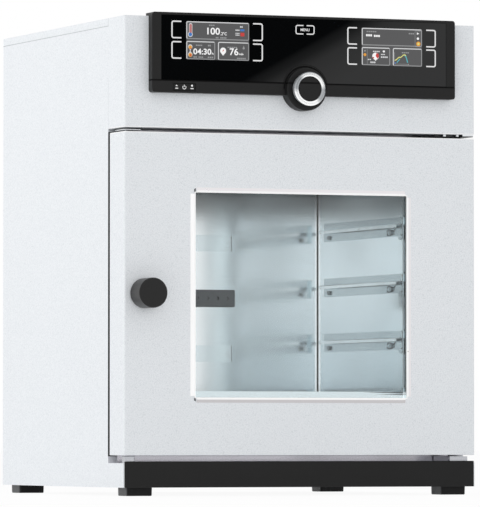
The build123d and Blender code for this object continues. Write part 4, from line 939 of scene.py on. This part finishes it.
# marks on the on key, placed from its middle
onKey = {"radius": 2.5, "line": 0.95, "from": 40, "sweep": 280, "bar": 0.9, "thickness": 0.1}
low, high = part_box("power_key")
keyFace = low.y * 1000
kx, kz = (low.x + high.x) * 500, (low.z + high.z) * 500
arc = [(kx + 0.2 + onKey["radius"] * math.sin(a), kz - 0.3 + onKey["radius"] * math.cos(a))
       for a in (math.radians(onKey["from"] + onKey["sweep"] * i / 20) for i in range(21))]
onMarks = {
    "onSign": ("mark", stroke(arc, onKey["line"])
               + stroke([(kx + 0.2, kz + 0.2), (kx + 0.2, kz + 3.4)], onKey["bar"])),
    "onLamp": ("digit", [disc(kx + 12.0, kz + 2.3, 1.4)]),
    "onLines": ("mark", [rounded(kx - 13.8, kz - 2.6, kx - 9.4, kz - 1.2, 0.5),
                         rounded(kx + 9.6, kz - 2.6, kx + 14.4, kz - 1.2, 0.5),
                         [(kx - 13.6, kz + 1.2), (kx - 9.8, kz + 1.2), (kx - 11.7, kz + 3.4)]]),
}
for name, (finish, shapes) in onMarks.items():
    flatPiece(name, shapes, finish, "on_key", keyFace, onKey["thickness"])
print("control panel marked")


# studio: camera, floor, soft lamps
shot = {"place": (-3.0415, -7.4542, 0.0877), "yaw": 22.25, "pitch": 1.918, "lens": 384.05}
camera = bpy.data.cameras.new("shot")
camera.lens = shot["lens"]
camera.sensor_width = 36.0
camera.sensor_fit = "AUTO"
cameraObject = bpy.data.objects.new("shot", camera)
cameraObject.location = shot["place"]
cameraObject.rotation_euler = (math.radians(90 + shot["pitch"]), 0, math.radians(-shot["yaw"]))
bpy.context.scene.collection.objects.link(cameraObject)
bpy.context.scene.camera = cameraObject

lamps = {
    "sideLamp": {"place": (-4.2, 0.6, 1.6), "aim": (-0.2, 0.0, 0.35), "size": 2.6, "watts": 50.0},
    "frontLamp": {"place": (-0.9, -5.2, 0.9), "aim": (0.0, -0.2, 0.3), "size": 1.6, "watts": 34.0},
}
for name, lamp in lamps.items():
    light = bpy.data.lights.new(name, "AREA")
    light.shape = "SQUARE"
    light.size = lamp["size"]
    light.energy = lamp["watts"]
    item = bpy.data.objects.new(name, light)
    item.location = lamp["place"]
    aim = Vector(lamp["aim"]) - Vector(lamp["place"])
    item.rotation_euler = aim.to_track_quat("-Z", "Y").to_euler()
    item.visible_glossy = False
    bpy.context.scene.collection.objects.link(item)

# a black flag in front of the control glass, with a soft slanting edge, that only reflections see
flag = {"x": (0.20, 0.84), "y": -1.469, "z": (0.645, 0.815),
        "across": 282.8, "up": -517.6, "start": 238.3, "slant": (-10.0, 50.0),
        "shade": ((-3, 0.035), (2, 0.2), (7, 0.3), (12, 0.52), (17, 0.74), (30, 0.88), (46, 1.0))}
f = Finish("studioFlag")
across, deep, up = f.parts(f.place())
slant = across * flag["across"] + up * flag["up"] + flag["start"]
least, most = flag["slant"]
stops = [((at - least) / (most - least), (grey, grey, grey, 1.0)) for at, grey in flag["shade"]]
fade = f.add("ShaderNodeValToRGB", {"stops": stops}, {0: f.spread(slant, least, most, 0.0, 1.0)})
dark = f.add("ShaderNodeEmission", {}, {"Color": (0.0, 0.0, 0.0, 1.0), "Strength": 0.0})
nothing = f.add("ShaderNodeBsdfTransparent")
mesh = bpy.data.meshes.new("studioFlag")
(left, right), (low, high) = flag["x"], flag["z"]
corners = ((left, low), (right, low), (right, high), (left, high))
mesh.from_pydata([(x, flag["y"], z) for x, z in corners], [], [(0, 1, 2, 3)])
mesh.materials.append(f.surface(f.add("ShaderNodeMixShader", {}, {0: fade, 1: dark, 2: nothing})))
item = bpy.data.objects.new("studioFlag", mesh)
bpy.context.scene.collection.objects.link(item)
for ray in ("camera", "diffuse", "transmission", "volume_scatter", "shadow"):
    setattr(item, "visible_" + ray, False)

studio = {"ambient": 0.77, "shadow": 0.07}
world = bpy.data.worlds.new("studio")
bpy.context.scene.world = world
world.use_nodes = True
w = Finish("studio", world.node_tree)
seen = w.add("ShaderNodeLightPath", out="Is Camera Ray")
mirrored = w.add("ShaderNodeLightPath", out="Is Glossy Ray")
through = w.add("ShaderNodeLightPath", out="Is Transmission Ray")
direct = w.math("MAXIMUM", w.math("MAXIMUM", seen, mirrored), through)
w.add("ShaderNodeOutputWorld", {}, {"Surface": w.add("ShaderNodeBackground", {}, {
    "Color": (1.0, 1.0, 1.0, 1.0), "Strength": w.spread(direct, 0.0, 1.0, studio["ambient"], 1.0)})})

f = Finish("studioFloor")
grain = f.noise(3.0, 2.0)
paper = f.add("ShaderNodeBsdfPrincipled", {}, {
    "Base Color": f.between(grain, (0.9, 0.9, 0.9, 1), (0.93, 0.93, 0.93, 1)), "Roughness": 0.9,
    "Specular IOR Level": 0.0})
glow = f.add("ShaderNodeEmission", {}, {"Color": (1.0, 1.0, 1.0, 1.0), "Strength": 1.0})
seen = f.add("ShaderNodeLightPath", out="Is Camera Ray")
mirrored = f.add("ShaderNodeLightPath", out="Is Glossy Ray")
direct = f.math("MAXIMUM", seen, mirrored)
floorFinish = f.surface(f.add("ShaderNodeMixShader", {}, {
    0: direct * (1 - studio["shadow"]), 1: paper, 2: glow}))
bm = bmesh.new()
bmesh.ops.create_grid(bm, x_segments=8, y_segments=8, size=20.0)
mesh = meshOf("studioFloor", bm)
mesh.materials.append(floorFinish)
floor = bpy.data.objects.new("studioFloor", mesh)
bpy.context.scene.collection.objects.link(floor)

bpy.context.scene.view_settings.view_transform = "Standard"
print("studio set")
